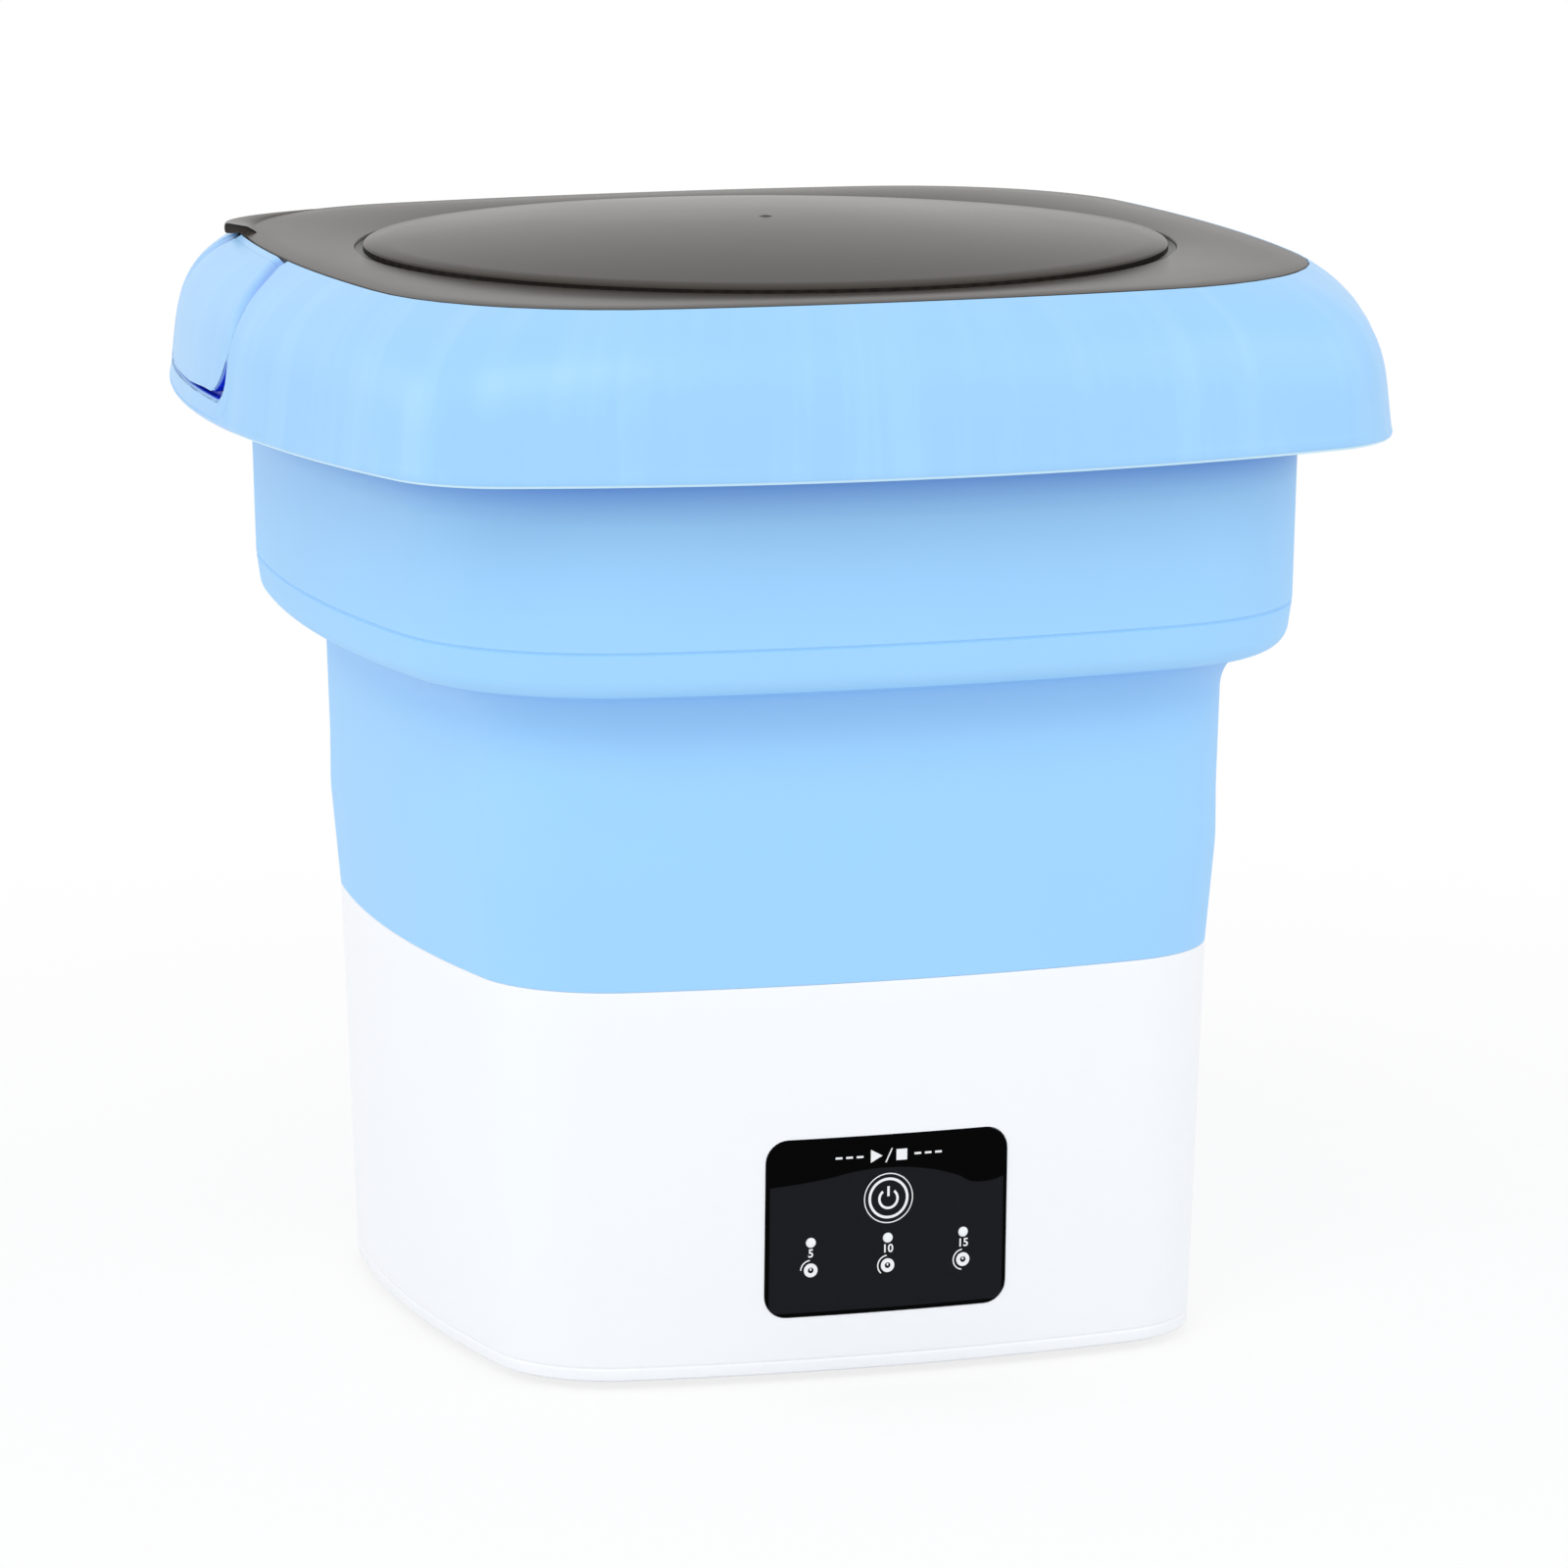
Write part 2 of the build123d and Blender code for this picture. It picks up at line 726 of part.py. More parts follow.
with BuildPart() as clamp_ring:
    with BuildSketch(base_section):
        with Locations((clamp_inner, clamp_bottom)):
            Rectangle(clamp_wall, clamp_height, align=(Align.MIN, Align.MIN))
    sweep(path=base_path)
    for side_plane in side_planes:
        with BuildSketch(side_plane.offset(screw_seat)):
            with Locations(*clamp_spots):
                Circle(screw_head_radius + slip)
        extrude(amount=2 * clamp_wall, mode=Mode.SUBTRACT)
    add(clamp_screw_holes.part, mode=Mode.SUBTRACT)
save(clamp_ring.part, "clamp_ring")

with BuildPart() as clamp_screws:
    for side_plane in side_planes:
        with BuildSketch(side_plane.offset(screw_seat)):
            with Locations(*clamp_spots):
                Circle(screw_head_radius)
        extrude(amount=screw_head_height)
        with BuildSketch(side_plane.offset(screw_seat)):
            with Locations(*clamp_spots):
                Circle(screw_radius)
        extrude(amount=-clamp_screw_length + slip)
save(clamp_screws.part, "clamp_screws")

# Carry handle: a flap cut from the skirt's own shell, hinged on two pins under the lid's edge
with BuildPart() as carry_handle:
    add(skirt_shell.part)
    with BuildSketch(handle_plane.offset(-handle_tuck)):
        draw_flap(0, 0)
    extrude(amount=handle_tuck + rim_wall, mode=Mode.INTERSECT)
    with BuildSketch(Plane.XY.offset(rim_top - handle_swing_gap)):
        with Locations((-rim_half, handle_centre)):
            Rectangle(2 * rim_half, 4 * handle_half_length)
    extrude(amount=lid_thickness, mode=Mode.SUBTRACT)
    for start in (ear_start, -ear_start - handle_ear_length):
        with BuildSketch(handle_axis_plane.offset(start)):
            Circle(handle_ear_radius)
        extrude(amount=handle_ear_length)
    with BuildSketch(handle_axis_plane.offset(-lug_end)):
        Circle(handle_pin_radius + run_gap)
    extrude(amount=2 * lug_end, mode=Mode.SUBTRACT)
save(carry_handle.part, "carry_handle")

with BuildPart() as handle_pins:
    for start in (ear_start, -lug_end):
        with BuildSketch(handle_axis_plane.offset(start)):
            Circle(handle_pin_radius)
        extrude(amount=lug_end - ear_start)
save(handle_pins.part, "handle_pins")

# Lid: a flat plate with a corner lift tab, a round groove and a low dome
dome_edge = dome_radius - groove_width
dome_sphere = (dome_edge**2 + dome_rise**2) / (2 * dome_rise)


def dome_height(radius):
    """Height of the dome's outer face above the flat of the lid."""
    return dome_rise - dome_sphere + sqrt(dome_sphere**2 - radius**2)


with BuildPart() as lid:
    with BuildSketch(Plane.XY.offset(rim_top)):
        with BuildSketch(mode=Mode.PRIVATE) as tab:
            with BuildLine():
                Polyline(
                    (-tab_root, tab_front),
                    (-tab_front_reach, tab_front),
                    (-tab_reach, tab_back - 2 * tab_radius),
                    (-tab_reach + 2 * tab_radius, tab_back),
                    (-tab_root, tab_back),
                    close=True,
                )
            make_face()
            fillet(tab.vertices().group_by(Axis.X)[0], tab_radius)
        draw_plate(lid_outline)
        add(tab.sketch)
    extrude(amount=lid_thickness)
    with BuildSketch(Plane.XY.offset(rim_top)):
        Circle(dome_radius)
    extrude(amount=lid_thickness, mode=Mode.SUBTRACT)
    with BuildSketch(Plane.XZ):
        with BuildLine():
            Polyline(
                (dome_edge, rim_top),
                (dome_radius, rim_top),
                (dome_radius, lid_top - groove_depth),
                (dome_edge, lid_top - groove_depth),
                (dome_edge, lid_top),
            )
            ThreePointArc(
                (dome_edge, lid_top),
                (dome_edge / 2, lid_top + dome_height(dome_edge / 2)),
                (0, lid_top + dome_rise),
            )
            Line((0, lid_top + dome_rise), (0, rim_top + dome_rise))
            ThreePointArc(
                (0, rim_top + dome_rise),
                (dome_edge / 2, rim_top + dome_height(dome_edge / 2)),
                (dome_edge, rim_top),
            )
        make_face()
    revolve(axis=Axis.Z)
    with BuildSketch(Plane.XY.offset(lid_top + dome_rise - gate_height)):
        Circle(gate_radius)
    extrude(amount=2 * gate_height)
    with BuildSketch(base_section):
        with Locations((mouth_half - base_half - 2 * slip, rim_top)):
            Rectangle(locator_wall, locator_height, align=(Align.MAX, Align.MAX))
    sweep(path=base_path)
save(lid.part, "lid")

# Gearbox under the pan: a tray with bearing boss, motor seat and four screw ears
shaft_bottom = gearbox_plate_top - bearing_length
gear_low = gearbox_plate_top + screw_head_height
with BuildPart() as gearbox_housing:
    with BuildSketch(Plane.XY.offset(gearbox_bottom)) as gearbox_plan:
        Circle(gearbox_inner + gearbox_wall)
        with Locations((gear_centre, 0)):
            Circle(gearbox_end)
        make_hull()
    extrude(amount=gearbox_depth)
    with BuildSketch(Plane.XY.offset(gearbox_plate_top)):
        Circle(gearbox_inner)
        with Locations((gear_centre, 0)):
            Circle(gearbox_end - gearbox_wall)
        make_hull()
    extrude(amount=gearbox_depth, mode=Mode.SUBTRACT)
    with BuildSketch(Plane.XY.offset(gearbox_bottom)):
        with Locations(*gearbox_ears):
            Circle(post_radius + gearbox_ear_rim)
        Circle(gearbox_inner, mode=Mode.SUBTRACT)
        with Locations((gear_centre, 0)):
            Circle(gearbox_end - gearbox_wall, mode=Mode.SUBTRACT)
    extrude(amount=gearbox_ear_height)
    with BuildSketch(Plane.XY.offset(gearbox_plate_top)):
        Circle(bearing_radius + gearbox_wall)
    extrude(amount=-bearing_length - thrust_floor)
    with BuildSketch(Plane.XY.offset(gearbox_plate_top)):
        Circle(bearing_radius + fit_gap)
    extrude(amount=-bearing_length, mode=Mode.SUBTRACT)
    with BuildSketch(Plane.XY.offset(gearbox_bottom)):
        with Locations((gear_centre, 0)):
            Circle(motor_boss_radius + slip)
        with Locations((gear_centre, -motor_screw_spread), (gear_centre, motor_screw_spread)):
            Circle(screw_hole)
        with Locations(*gearbox_ears):
            Circle(screw_hole)
    extrude(amount=gearbox_ear_height, mode=Mode.SUBTRACT)
save(gearbox_housing.part, "gearbox_housing")

with BuildPart() as gearbox_screws:
    with BuildSketch(Plane.XY.offset(gearbox_bottom)):
        with Locations(*gearbox_ears):
            Circle(screw_head_radius)
    extrude(amount=-screw_head_height)
    with BuildSketch(Plane.XY.offset(gearbox_bottom)):
        with Locations(*gearbox_ears):
            Circle(screw_radius)
    extrude(amount=gearbox_ear_height + pan_floor_z - ear_top - slip)
save(gearbox_screws.part, "gearbox_screws")


def bearing_at(bottom):
    """A plain bearing for the drive shaft, standing on a height."""
    with BuildPart() as bearing:
        with BuildSketch(Plane.XY.offset(bottom)):
            Circle(bearing_radius)
            Circle(shaft_radius + run_gap, mode=Mode.SUBTRACT)
        extrude(amount=bearing_length)
    return bearing.part


save(bearing_at(bearing_low), "upper_bearing")
save(bearing_at(shaft_bottom), "lower_bearing")

with BuildPart() as shaft_seal:
    with BuildSketch(Plane.XY.offset(seal_top - seal_height)):
        Circle(seal_radius - fit_gap)
        Circle(shaft_radius + run_gap, mode=Mode.SUBTRACT)
    extrude(amount=seal_height)
save(shaft_seal.part, "shaft_seal")

# Motor: can, magnets, end cap and bushing stay still; rotor, shaft and pinion turn
motor_bottom = gearbox_bottom - motor_length
magnet_outer = motor_radius - motor_wall - fit_gap
magnet_inner = magnet_outer - magnet_thickness
motor_middle = motor_bottom + motor_length / 2
with BuildPart() as motor_can:
    with BuildSketch(Plane.XY.offset(motor_bottom)):
        with Locations((gear_centre, 0)):
            Circle(motor_radius)
    extrude(amount=motor_length)
    with BuildSketch(Plane.XY.offset(gearbox_bottom)):
        with Locations((gear_centre, 0)):
            Circle(motor_boss_radius)
    extrude(amount=motor_boss_height)
    with BuildSketch(Plane.XY.offset(motor_bottom)):
        with Locations((gear_centre, 0)):
            Circle(motor_radius - motor_wall)
    extrude(amount=motor_length - motor_wall, mode=Mode.SUBTRACT)
    with BuildSketch(Plane.XY.offset(motor_middle)):
        with Locations((gear_centre, 0)):
            Circle(motor_bushing_radius + fit_gap)
        with Locations((gear_centre, -motor_screw_spread), (gear_centre, motor_screw_spread)):
            Circle(screw_hole)
    extrude(amount=motor_length, mode=Mode.SUBTRACT)
save(motor_can.part, "motor_can")

with BuildPart() as motor_bushing:
    with BuildSketch(Plane.XY.offset(gearbox_bottom + motor_boss_height)):
        with Locations((gear_centre, 0)):
            Circle(motor_bushing_radius)
            Circle(motor_shaft_radius + run_gap, mode=Mode.SUBTRACT)
    extrude(amount=-motor_boss_height - 2 * motor_wall)
save(motor_bushing.part, "motor_bushing")

with BuildPart() as motor_end_cap:
    with BuildSketch(Plane.XY.offset(motor_bottom)):
        with Locations((gear_centre, 0)):
            Circle(motor_radius)
        with Locations(*[(gear_centre + side * terminal_spread, -motor_radius) for side in (-1, 1)]):
            Rectangle(terminal_size, 2 * terminal_size)
    extrude(amount=-motor_cap_length)
    with BuildSketch(Plane.XY.offset(motor_bottom)):
        with Locations((gear_centre, 0)):
            Circle(motor_radius - motor_wall - fit_gap)
    extrude(amount=motor_wall)
    with BuildSketch(Plane.XY.offset(motor_bottom - motor_cap_length + motor_wall)):
        with Locations((gear_centre, 0)):
            Circle(motor_shaft_radius + run_gap)
    extrude(amount=motor_length, mode=Mode.SUBTRACT)
save(motor_end_cap.part, "motor_end_cap")

with BuildPart() as motor_magnets:
    with BuildSketch(Plane.XY.offset(motor_middle - rotor_length / 2)):
        with Locations((gear_centre, 0)):
            Circle(magnet_outer)
            Circle(magnet_inner, mode=Mode.SUBTRACT)
            Rectangle(2 * motor_radius, magnet_inner, mode=Mode.SUBTRACT)
    extrude(amount=rotor_length)
save(motor_magnets.part, "motor_magnets")

with BuildPart() as motor_screws:
    with BuildSketch(Plane.XY.offset(gearbox_plate_top)):
        with Locations((gear_centre, -motor_screw_spread), (gear_centre, motor_screw_spread)):
            Circle(screw_head_radius)
    extrude(amount=screw_head_height)
    with BuildSketch(Plane.XY.offset(gearbox_plate_top)):
        with Locations((gear_centre, -motor_screw_spread), (gear_centre, motor_screw_spread)):
            Circle(screw_radius)
    extrude(amount=-gearbox_floor - motor_wall)
save(motor_screws.part, "motor_screws")

pinion_low = gear_low - pinion_overhang
pinion_face = gear_face + 3 * pinion_overhang
with BuildPart() as motor_shaft:
    with BuildSketch(Plane.XY.offset(motor_bottom - motor_cap_length + motor_wall + slip)):
        with Locations((gear_centre, 0)):
            Circle(motor_shaft_radius)
    extrude(amount=pinion_low + pinion_face - motor_bottom + motor_cap_length - motor_wall - slip)
save(motor_shaft.part, "motor_shaft")

with BuildPart() as motor_rotor:
    with BuildSketch(Plane.XY.offset(motor_middle - rotor_length / 2)):
        with Locations((gear_centre, 0)):
            Circle(rotor_radius)
            Circle(motor_shaft_radius + fit_gap, mode=Mode.SUBTRACT)
            with PolarLocations(rotor_slot_place, rotor_slots):
                SlotOverall(rotor_slot_place, rotor_slot_width, mode=Mode.SUBTRACT)
    extrude(amount=rotor_length)
save(motor_rotor.part, "motor_rotor")

with BuildPart() as pinion_gear:
    with BuildSketch(Plane(origin=(gear_centre, 0, pinion_low))):
        draw_gear(pinion_teeth, pi / pinion_teeth)
        Circle(motor_shaft_radius + fit_gap, mode=Mode.SUBTRACT)
    extrude(amount=pinion_face)
save(pinion_gear.part, "pinion_gear")

# Pulsator with its shaft and gear
pulsator_bottom = seal_top + pulsator_gap
pulsator_edge_z = pan_top_z + pulsator_edge
pulsator_top = pulsator_bottom + pulsator_hub_height
shaft_top = pulsator_top - pulsator_recess - pulsator_edge
fin_start = pulsator_hub_radius + fin_inset
fin_end = pulsator_radius - fin_width
with BuildPart() as drive_shaft:
    with BuildSketch(Plane.XY.offset(shaft_bottom)):
        Circle(shaft_radius)
    extrude(amount=shaft_top - shaft_bottom)
    with BuildSketch(Plane.XY.offset(shaft_top)):
        Circle(screw_hole)
    extrude(amount=-pulsator_screw_length, mode=Mode.SUBTRACT)
save(drive_shaft.part, "drive_shaft")

with BuildPart() as drive_gear:
    with BuildSketch(Plane.XY.offset(gear_low)):
        draw_gear(gear_teeth, 0)
    extrude(amount=gear_face)
    with BuildSketch(Plane.XY.offset(gear_low)):
        Circle(gear_hub_radius)
    extrude(amount=gear_face + gear_hub_rise)
    with BuildSketch(Plane.XY.offset(gear_low)):
        Circle(shaft_radius + fit_gap)
    extrude(amount=gear_face + gear_hub_rise, mode=Mode.SUBTRACT)
save(drive_gear.part, "drive_gear")

with BuildPart() as pulsator:
    with BuildSketch(Plane.XZ):
        with BuildLine():
            Polyline(
                (0, pulsator_bottom),
                (pulsator_hub_radius, pulsator_bottom),
                (pulsator_hub_radius, pulsator_top - 2 * pulsator_edge),
                (pulsator_radius, pulsator_edge_z),
                (pulsator_radius, pulsator_edge_z + pulsator_edge),
                (pulsator_hub_radius, pulsator_top),
                (0, pulsator_top),
                close=True,
            )
        make_face()
    revolve(axis=Axis.Z)
    for fin in range(fin_count):
        angle = 2 * pi * fin / fin_count
        fin_plane = Plane(
            origin=(0, 0, 0),
            x_dir=(cos(angle), sin(angle), 0),
            z_dir=(sin(angle), -cos(angle), 0),
        )
        with BuildSketch(fin_plane):
            with BuildLine():
                Polyline(
                    (fin_start, pulsator_top - pulsator_edge),
                    (fin_end, pulsator_edge_z + pulsator_edge),
                    (fin_end, pulsator_edge_z + 2 * pulsator_edge),
                    (fin_end - 2 * fin_width, pulsator_edge_z + pulsator_edge + 2 * fin_height),
                    (fin_start + fin_width, pulsator_top + fin_height / 2),
                    (fin_start, pulsator_top),
                    close=True,
                )
            make_face()
        extrude(amount=fin_width / 2, both=True)
    with BuildSketch(Plane.XY.offset(pulsator_bottom)):
        Circle(shaft_radius + fit_gap)
    extrude(amount=shaft_top - pulsator_bottom, mode=Mode.SUBTRACT)
    with BuildSketch(Plane.XY.offset(pulsator_bottom)):
        Circle(screw_hole)
    extrude(amount=pulsator_top - pulsator_bottom, mode=Mode.SUBTRACT)
    with BuildSketch(Plane.XY.offset(pulsator_top)):
        Circle(pulsator_recess_radius)
    extrude(amount=-pulsator_recess, mode=Mode.SUBTRACT)
save(pulsator.part, "pulsator")

pulsator_seat = pulsator_top - pulsator_recess
with BuildPart() as pulsator_screw:
    with BuildSketch(Plane.XY.offset(pulsator_seat)):
        Circle(screw_head_radius)
    extrude(amount=screw_head_height)
    with BuildSketch(Plane.XY.offset(pulsator_seat)):
        Circle(screw_radius)
    extrude(amount=-pulsator_edge - pulsator_screw_length + slip)
save(pulsator_screw.part, "pulsator_screw")

with BuildPart() as pulsator_cap:
    with BuildSketch(Plane.XY.offset(pulsator_seat + screw_head_height)):
        Circle(pulsator_recess_radius - fit_gap)
    extrude(amount=pulsator_recess - screw_head_height + pulsator_cap_rise)
    fillet(pulsator_cap.edges().group_by(Axis.Z)[-1], pulsator_cap_edge)
save(pulsator_cap.part, "pulsator_cap")

# Control panel, power button, lamps, switch and board
with BuildPart() as control_panel:
    with BuildSketch(base_section):
        with BuildLine():
            Polyline(
                (wall_offset(recess_low) - recess_depth, recess_low),
                (wall_offset(recess_low) + panel_proud, recess_low),
                (wall_offset(recess_high) + panel_proud, recess_high),
                (wall_offset(recess_high) - recess_depth, recess_high),
                close=True,
            )
        make_face()
    sweep(path=base_path)
    with BuildSketch(Plane.XZ):
        with Locations((0, panel_centre_z)):
            RectangleRounded(panel_width, panel_height, panel_corner)
        with Locations((0, button_z)):
            Circle(button_radius + button_gap, mode=Mode.SUBTRACT)
        with Locations((-led_spacing, led_z), (0, led_z), (led_spacing, led_z)):
            Circle(led_radius + fit_gap, mode=Mode.SUBTRACT)
    extrude(amount=2 * base_half, mode=Mode.INTERSECT)
save(control_panel.part, "control_panel")

switch_face = board_front - switch_height - switch_plunger
stem_end = switch_face - button_travel - button_slack
with BuildPart() as power_button:
    with BuildSketch(base_section):
        with BuildLine():
            Polyline(
                (wall_offset(recess_low) + panel_proud - button_thickness, recess_low),
                (wall_offset(recess_low) + panel_proud, recess_low),
                (wall_offset(recess_high) + panel_proud, recess_high),
                (wall_offset(recess_high) + panel_proud - button_thickness, recess_high),
                close=True,
            )
        make_face()
    sweep(path=base_path)
    with BuildSketch(Plane.XZ):
        with Locations((0, button_z)):
            Circle(button_radius)
    extrude(amount=2 * base_half, mode=Mode.INTERSECT)
    with BuildSketch(Plane.XZ.offset(-stem_end)):
        with Locations((0, button_z)):
            Circle(button_stem_radius)
    extrude(amount=stem_end - front_face(button_z) - button_thickness / 2)
save(power_button.part, "power_button")

with BuildPart() as indicator_leds:
    with BuildSketch(Plane.XZ.offset(-board_front)):
        with Locations((-led_spacing, led_z), (0, led_z), (led_spacing, led_z)):
            Circle(led_radius)
    extrude(amount=board_front - front_face(led_z))
save(indicator_leds.part, "indicator_leds")

with BuildPart() as control_board:
    with BuildSketch(Plane.XZ.offset(-board_front)):
        with Locations((0, board_z)):
            RectangleRounded(board_width, board_height, board_corner)
            with Locations(*four_corners(board_screw_x, board_screw_z)):
                Circle(screw_hole, mode=Mode.SUBTRACT)
    extrude(amount=-board_thickness)
save(control_board.part, "control_board")

with BuildPart() as tact_switch:
    with BuildSketch(Plane.XZ.offset(-board_front)):
        with Locations((0, button_z)):
            Rectangle(switch_size, switch_size)
    extrude(amount=switch_height)
    with BuildSketch(Plane.XZ.offset(-board_front)):
        with Locations((0, button_z)):
            Circle(switch_plunger_radius)
    extrude(amount=switch_height + switch_plunger)
save(tact_switch.part, "tact_switch")

board_back = board_front + board_thickness
with BuildPart() as board_screws:
    with BuildSketch(Plane.XZ.offset(-board_back)):
        with Locations((0, board_z)):
            with Locations(*four_corners(board_screw_x, board_screw_z)):
                Circle(screw_head_radius)
    extrude(amount=-screw_head_height)
    with BuildSketch(Plane.XZ.offset(-board_back)):
        with Locations((0, board_z)):
            with Locations(*four_corners(board_screw_x, board_screw_z)):
                Circle(screw_radius)
    extrude(amount=board_thickness + board_standoff - screw_head_height)
save(board_screws.part, "board_screws")

with BuildPart() as board_connectors:
    with BuildSketch(Plane.XZ.offset(-board_back)):
        with Locations((gear_centre, connector_z), (-gear_centre, connector_z)):
            Rectangle(2 * terminal_spread + 2 * terminal_size, connector_height)
    extrude(amount=-connector_depth)
save(board_connectors.part, "board_connectors")

# Wires inside the base: a pair from the motor and a pair from the power socket
connector_face = board_back + connector_depth
terminal_face = -motor_radius - terminal_size
terminal_z = motor_bottom - motor_cap_length / 2
socket_back = back_wall_socket - housing_wall - socket_depth
motor_route = [
    (0, terminal_face, terminal_z),
    (0, terminal_face - wire_lead, terminal_z),
    (0, connector_face + wire_lead, connector_z),
    (0, connector_face, connector_z),
]
power_route = [
    (socket_x, socket_back, socket_z),
    (socket_x, socket_back - wire_lead, socket_z),
    (socket_x + wire_lead / 2, wire_lead, socket_z - wire_drop),
    (socket_x + wire_lead / 2, -wire_lead, socket_z - wire_drop),
    (-gear_centre, connector_face + wire_lead, connector_z),
    (-gear_centre, connector_face, connector_z),
]


def wire_along(points):
    """A round wire on straight runs joined by arcs."""
    with BuildPart() as wire:
        with BuildLine() as route:
            FilletPolyline(*points, radius=wire_bend)
        with BuildSketch(Plane(origin=points[0], z_dir=Vector(*points[1]) - Vector(*points[0]))):
            Circle(wire_radius)
        sweep(path=route.wires()[0])
    return wire.part


with BuildPart() as motor_leads:
    for side in (-1, 1):
        shift = gear_centre + side * terminal_spread
        add(wire_along([(x + shift, y, z) for x, y, z in motor_route]))
save(motor_leads.part, "motor_leads")

with BuildPart() as power_leads:
    for side in (-1, 1):
        add(wire_along([(x, y, z + side * 2 * wire_radius) for x, y, z in power_route]))
save(power_leads.part, "power_leads")

# Drain: strainer in the tub, elbow under it, nipple and plug at the back
collar_y = back_wall_drain + slip
nipple_end = collar_y + drain_reach
with BuildPart() as drain_spout:
    with BuildLine() as drain_path:
        FilletPolyline(
            (drain_x, drain_y, pan_floor_z),
            (drain_x, drain_y, drain_z),
            (drain_x, nipple_end, drain_z),
            radius=drain_bend,
        )
    with BuildSketch(Plane(origin=(drain_x, drain_y, pan_floor_z), z_dir=(0, 0, -1))):
        Circle(drain_radius)
        Circle(drain_bore, mode=Mode.SUBTRACT)
    sweep(path=drain_path.wires()[0])
    with BuildSketch(Plane.XY.offset(pan_floor_z)):
        with Locations((drain_x, drain_y)):
            Circle(drain_flange)
            Circle(drain_bore, mode=Mode.SUBTRACT)
    extrude(amount=-pan_floor_thickness)
    with BuildSketch(Plane.XZ.offset(-collar_y)):
        with Locations((drain_x, drain_z)):
            Circle(drain_flange)
            Circle(drain_bore, mode=Mode.SUBTRACT)
    extrude(amount=-pan_floor_thickness)
save(drain_spout.part, "drain_spout")

with BuildPart() as drain_strainer:
    with BuildSketch(Plane.XY.offset(pan_top_z)):
        with Locations((drain_x, drain_y)):
            Circle(strainer_radius)
            with PolarLocations(strainer_radius / 2, strainer_holes):
                Circle(strainer_radius / strainer_holes, mode=Mode.SUBTRACT)
    extrude(amount=strainer_thickness)
save(drain_strainer.part, "drain_strainer")

with BuildPart() as drain_plug:
    with BuildSketch(Plane.XZ.offset(-nipple_end)):
        with Locations((drain_x, drain_z)):
            Circle(plug_head_radius)
    extrude(amount=-plug_head)
    with BuildSketch(Plane.XZ.offset(-nipple_end)):
        with Locations((drain_x, drain_z)):
            Circle(drain_bore - fit_gap)
    extrude(amount=plug_length)
    with BuildSketch(Plane.YZ.offset(drain_x)):
        with Locations((nipple_end + plug_head, drain_z)):
            SlotOverall(2 * plug_head_radius, plug_head_radius)
    extrude(amount=plug_tab_thickness / 2, both=True)
    with BuildSketch(Plane.XZ.offset(-nipple_end)):
        with Locations((drain_x, drain_z)):
            Circle(2 * plug_head_radius)
            Circle(drain_bore - fit_gap, mode=Mode.SUBTRACT)
    extrude(amount=2 * plug_length, mode=Mode.SUBTRACT)
save(drain_plug.part, "drain_plug")

with BuildPart() as power_socket:
    with BuildSketch(Plane.XZ.offset(-back_wall_socket)):
        with Locations((socket_x, socket_z)):
            Circle(socket_radius)
    extrude(amount=back_wall_socket - socket_back)
    with BuildSketch(Plane.XZ.offset(-back_wall_socket - slip)):
        with Locations((socket_x, socket_z)):
            Circle(socket_flange)
    extrude(amount=-socket_rim)
    with BuildSketch(Plane.XZ.offset(-back_wall_socket)):
        with Locations((socket_x, socket_z)):
            Circle(socket_radius)
    extrude(amount=-slip)
    with BuildSketch(Plane.XZ.offset(-back_wall_socket - slip - socket_rim)):
        with Locations((socket_x, socket_z)):
            Circle(socket_bore)
            Circle(socket_pin, mode=Mode.SUBTRACT)
    extrude(amount=socket_depth, mode=Mode.SUBTRACT)
save(power_socket.part, "power_socket")
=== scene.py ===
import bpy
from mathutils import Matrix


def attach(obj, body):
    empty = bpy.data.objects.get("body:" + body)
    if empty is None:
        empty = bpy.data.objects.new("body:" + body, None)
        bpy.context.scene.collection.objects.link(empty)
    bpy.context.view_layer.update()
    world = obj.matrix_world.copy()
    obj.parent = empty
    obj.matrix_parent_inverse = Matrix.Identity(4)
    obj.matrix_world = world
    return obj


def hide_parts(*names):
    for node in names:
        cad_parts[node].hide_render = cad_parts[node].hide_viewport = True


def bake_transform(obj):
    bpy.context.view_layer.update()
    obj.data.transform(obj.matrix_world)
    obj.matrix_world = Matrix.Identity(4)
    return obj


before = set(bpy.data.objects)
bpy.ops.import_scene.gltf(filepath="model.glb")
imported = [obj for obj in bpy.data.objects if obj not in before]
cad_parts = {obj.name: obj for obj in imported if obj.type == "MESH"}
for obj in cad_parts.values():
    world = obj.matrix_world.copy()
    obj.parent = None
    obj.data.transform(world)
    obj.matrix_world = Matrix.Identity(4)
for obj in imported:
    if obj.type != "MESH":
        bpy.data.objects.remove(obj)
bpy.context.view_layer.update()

import bisect
import math

import bmesh
import bpy
from bpy.props import FloatProperty, FloatVectorProperty, PointerProperty
from mathutils import Vector

bl_info = {
    "name": "Folding Bucket Washer",
    "version": (1, 0, 0),
    "blender": (4, 5, 0),
    "location": "View3D > Sidebar > Washer",
    "description": "Builds the looks of a folding bucket washer on its packed frame",
    "category": "Object",
}

MM = 0.001

# Outlines: half the width, radius of the bowed sides, radius of the corners
BASE = (113.6, 485.0, 39.0)
RIM = (164.5, 413.0, 38.0)
LID = (141.3, 588.0, 72.3)
SIDE_STEPS = 20
CORNER_STEPS = 20

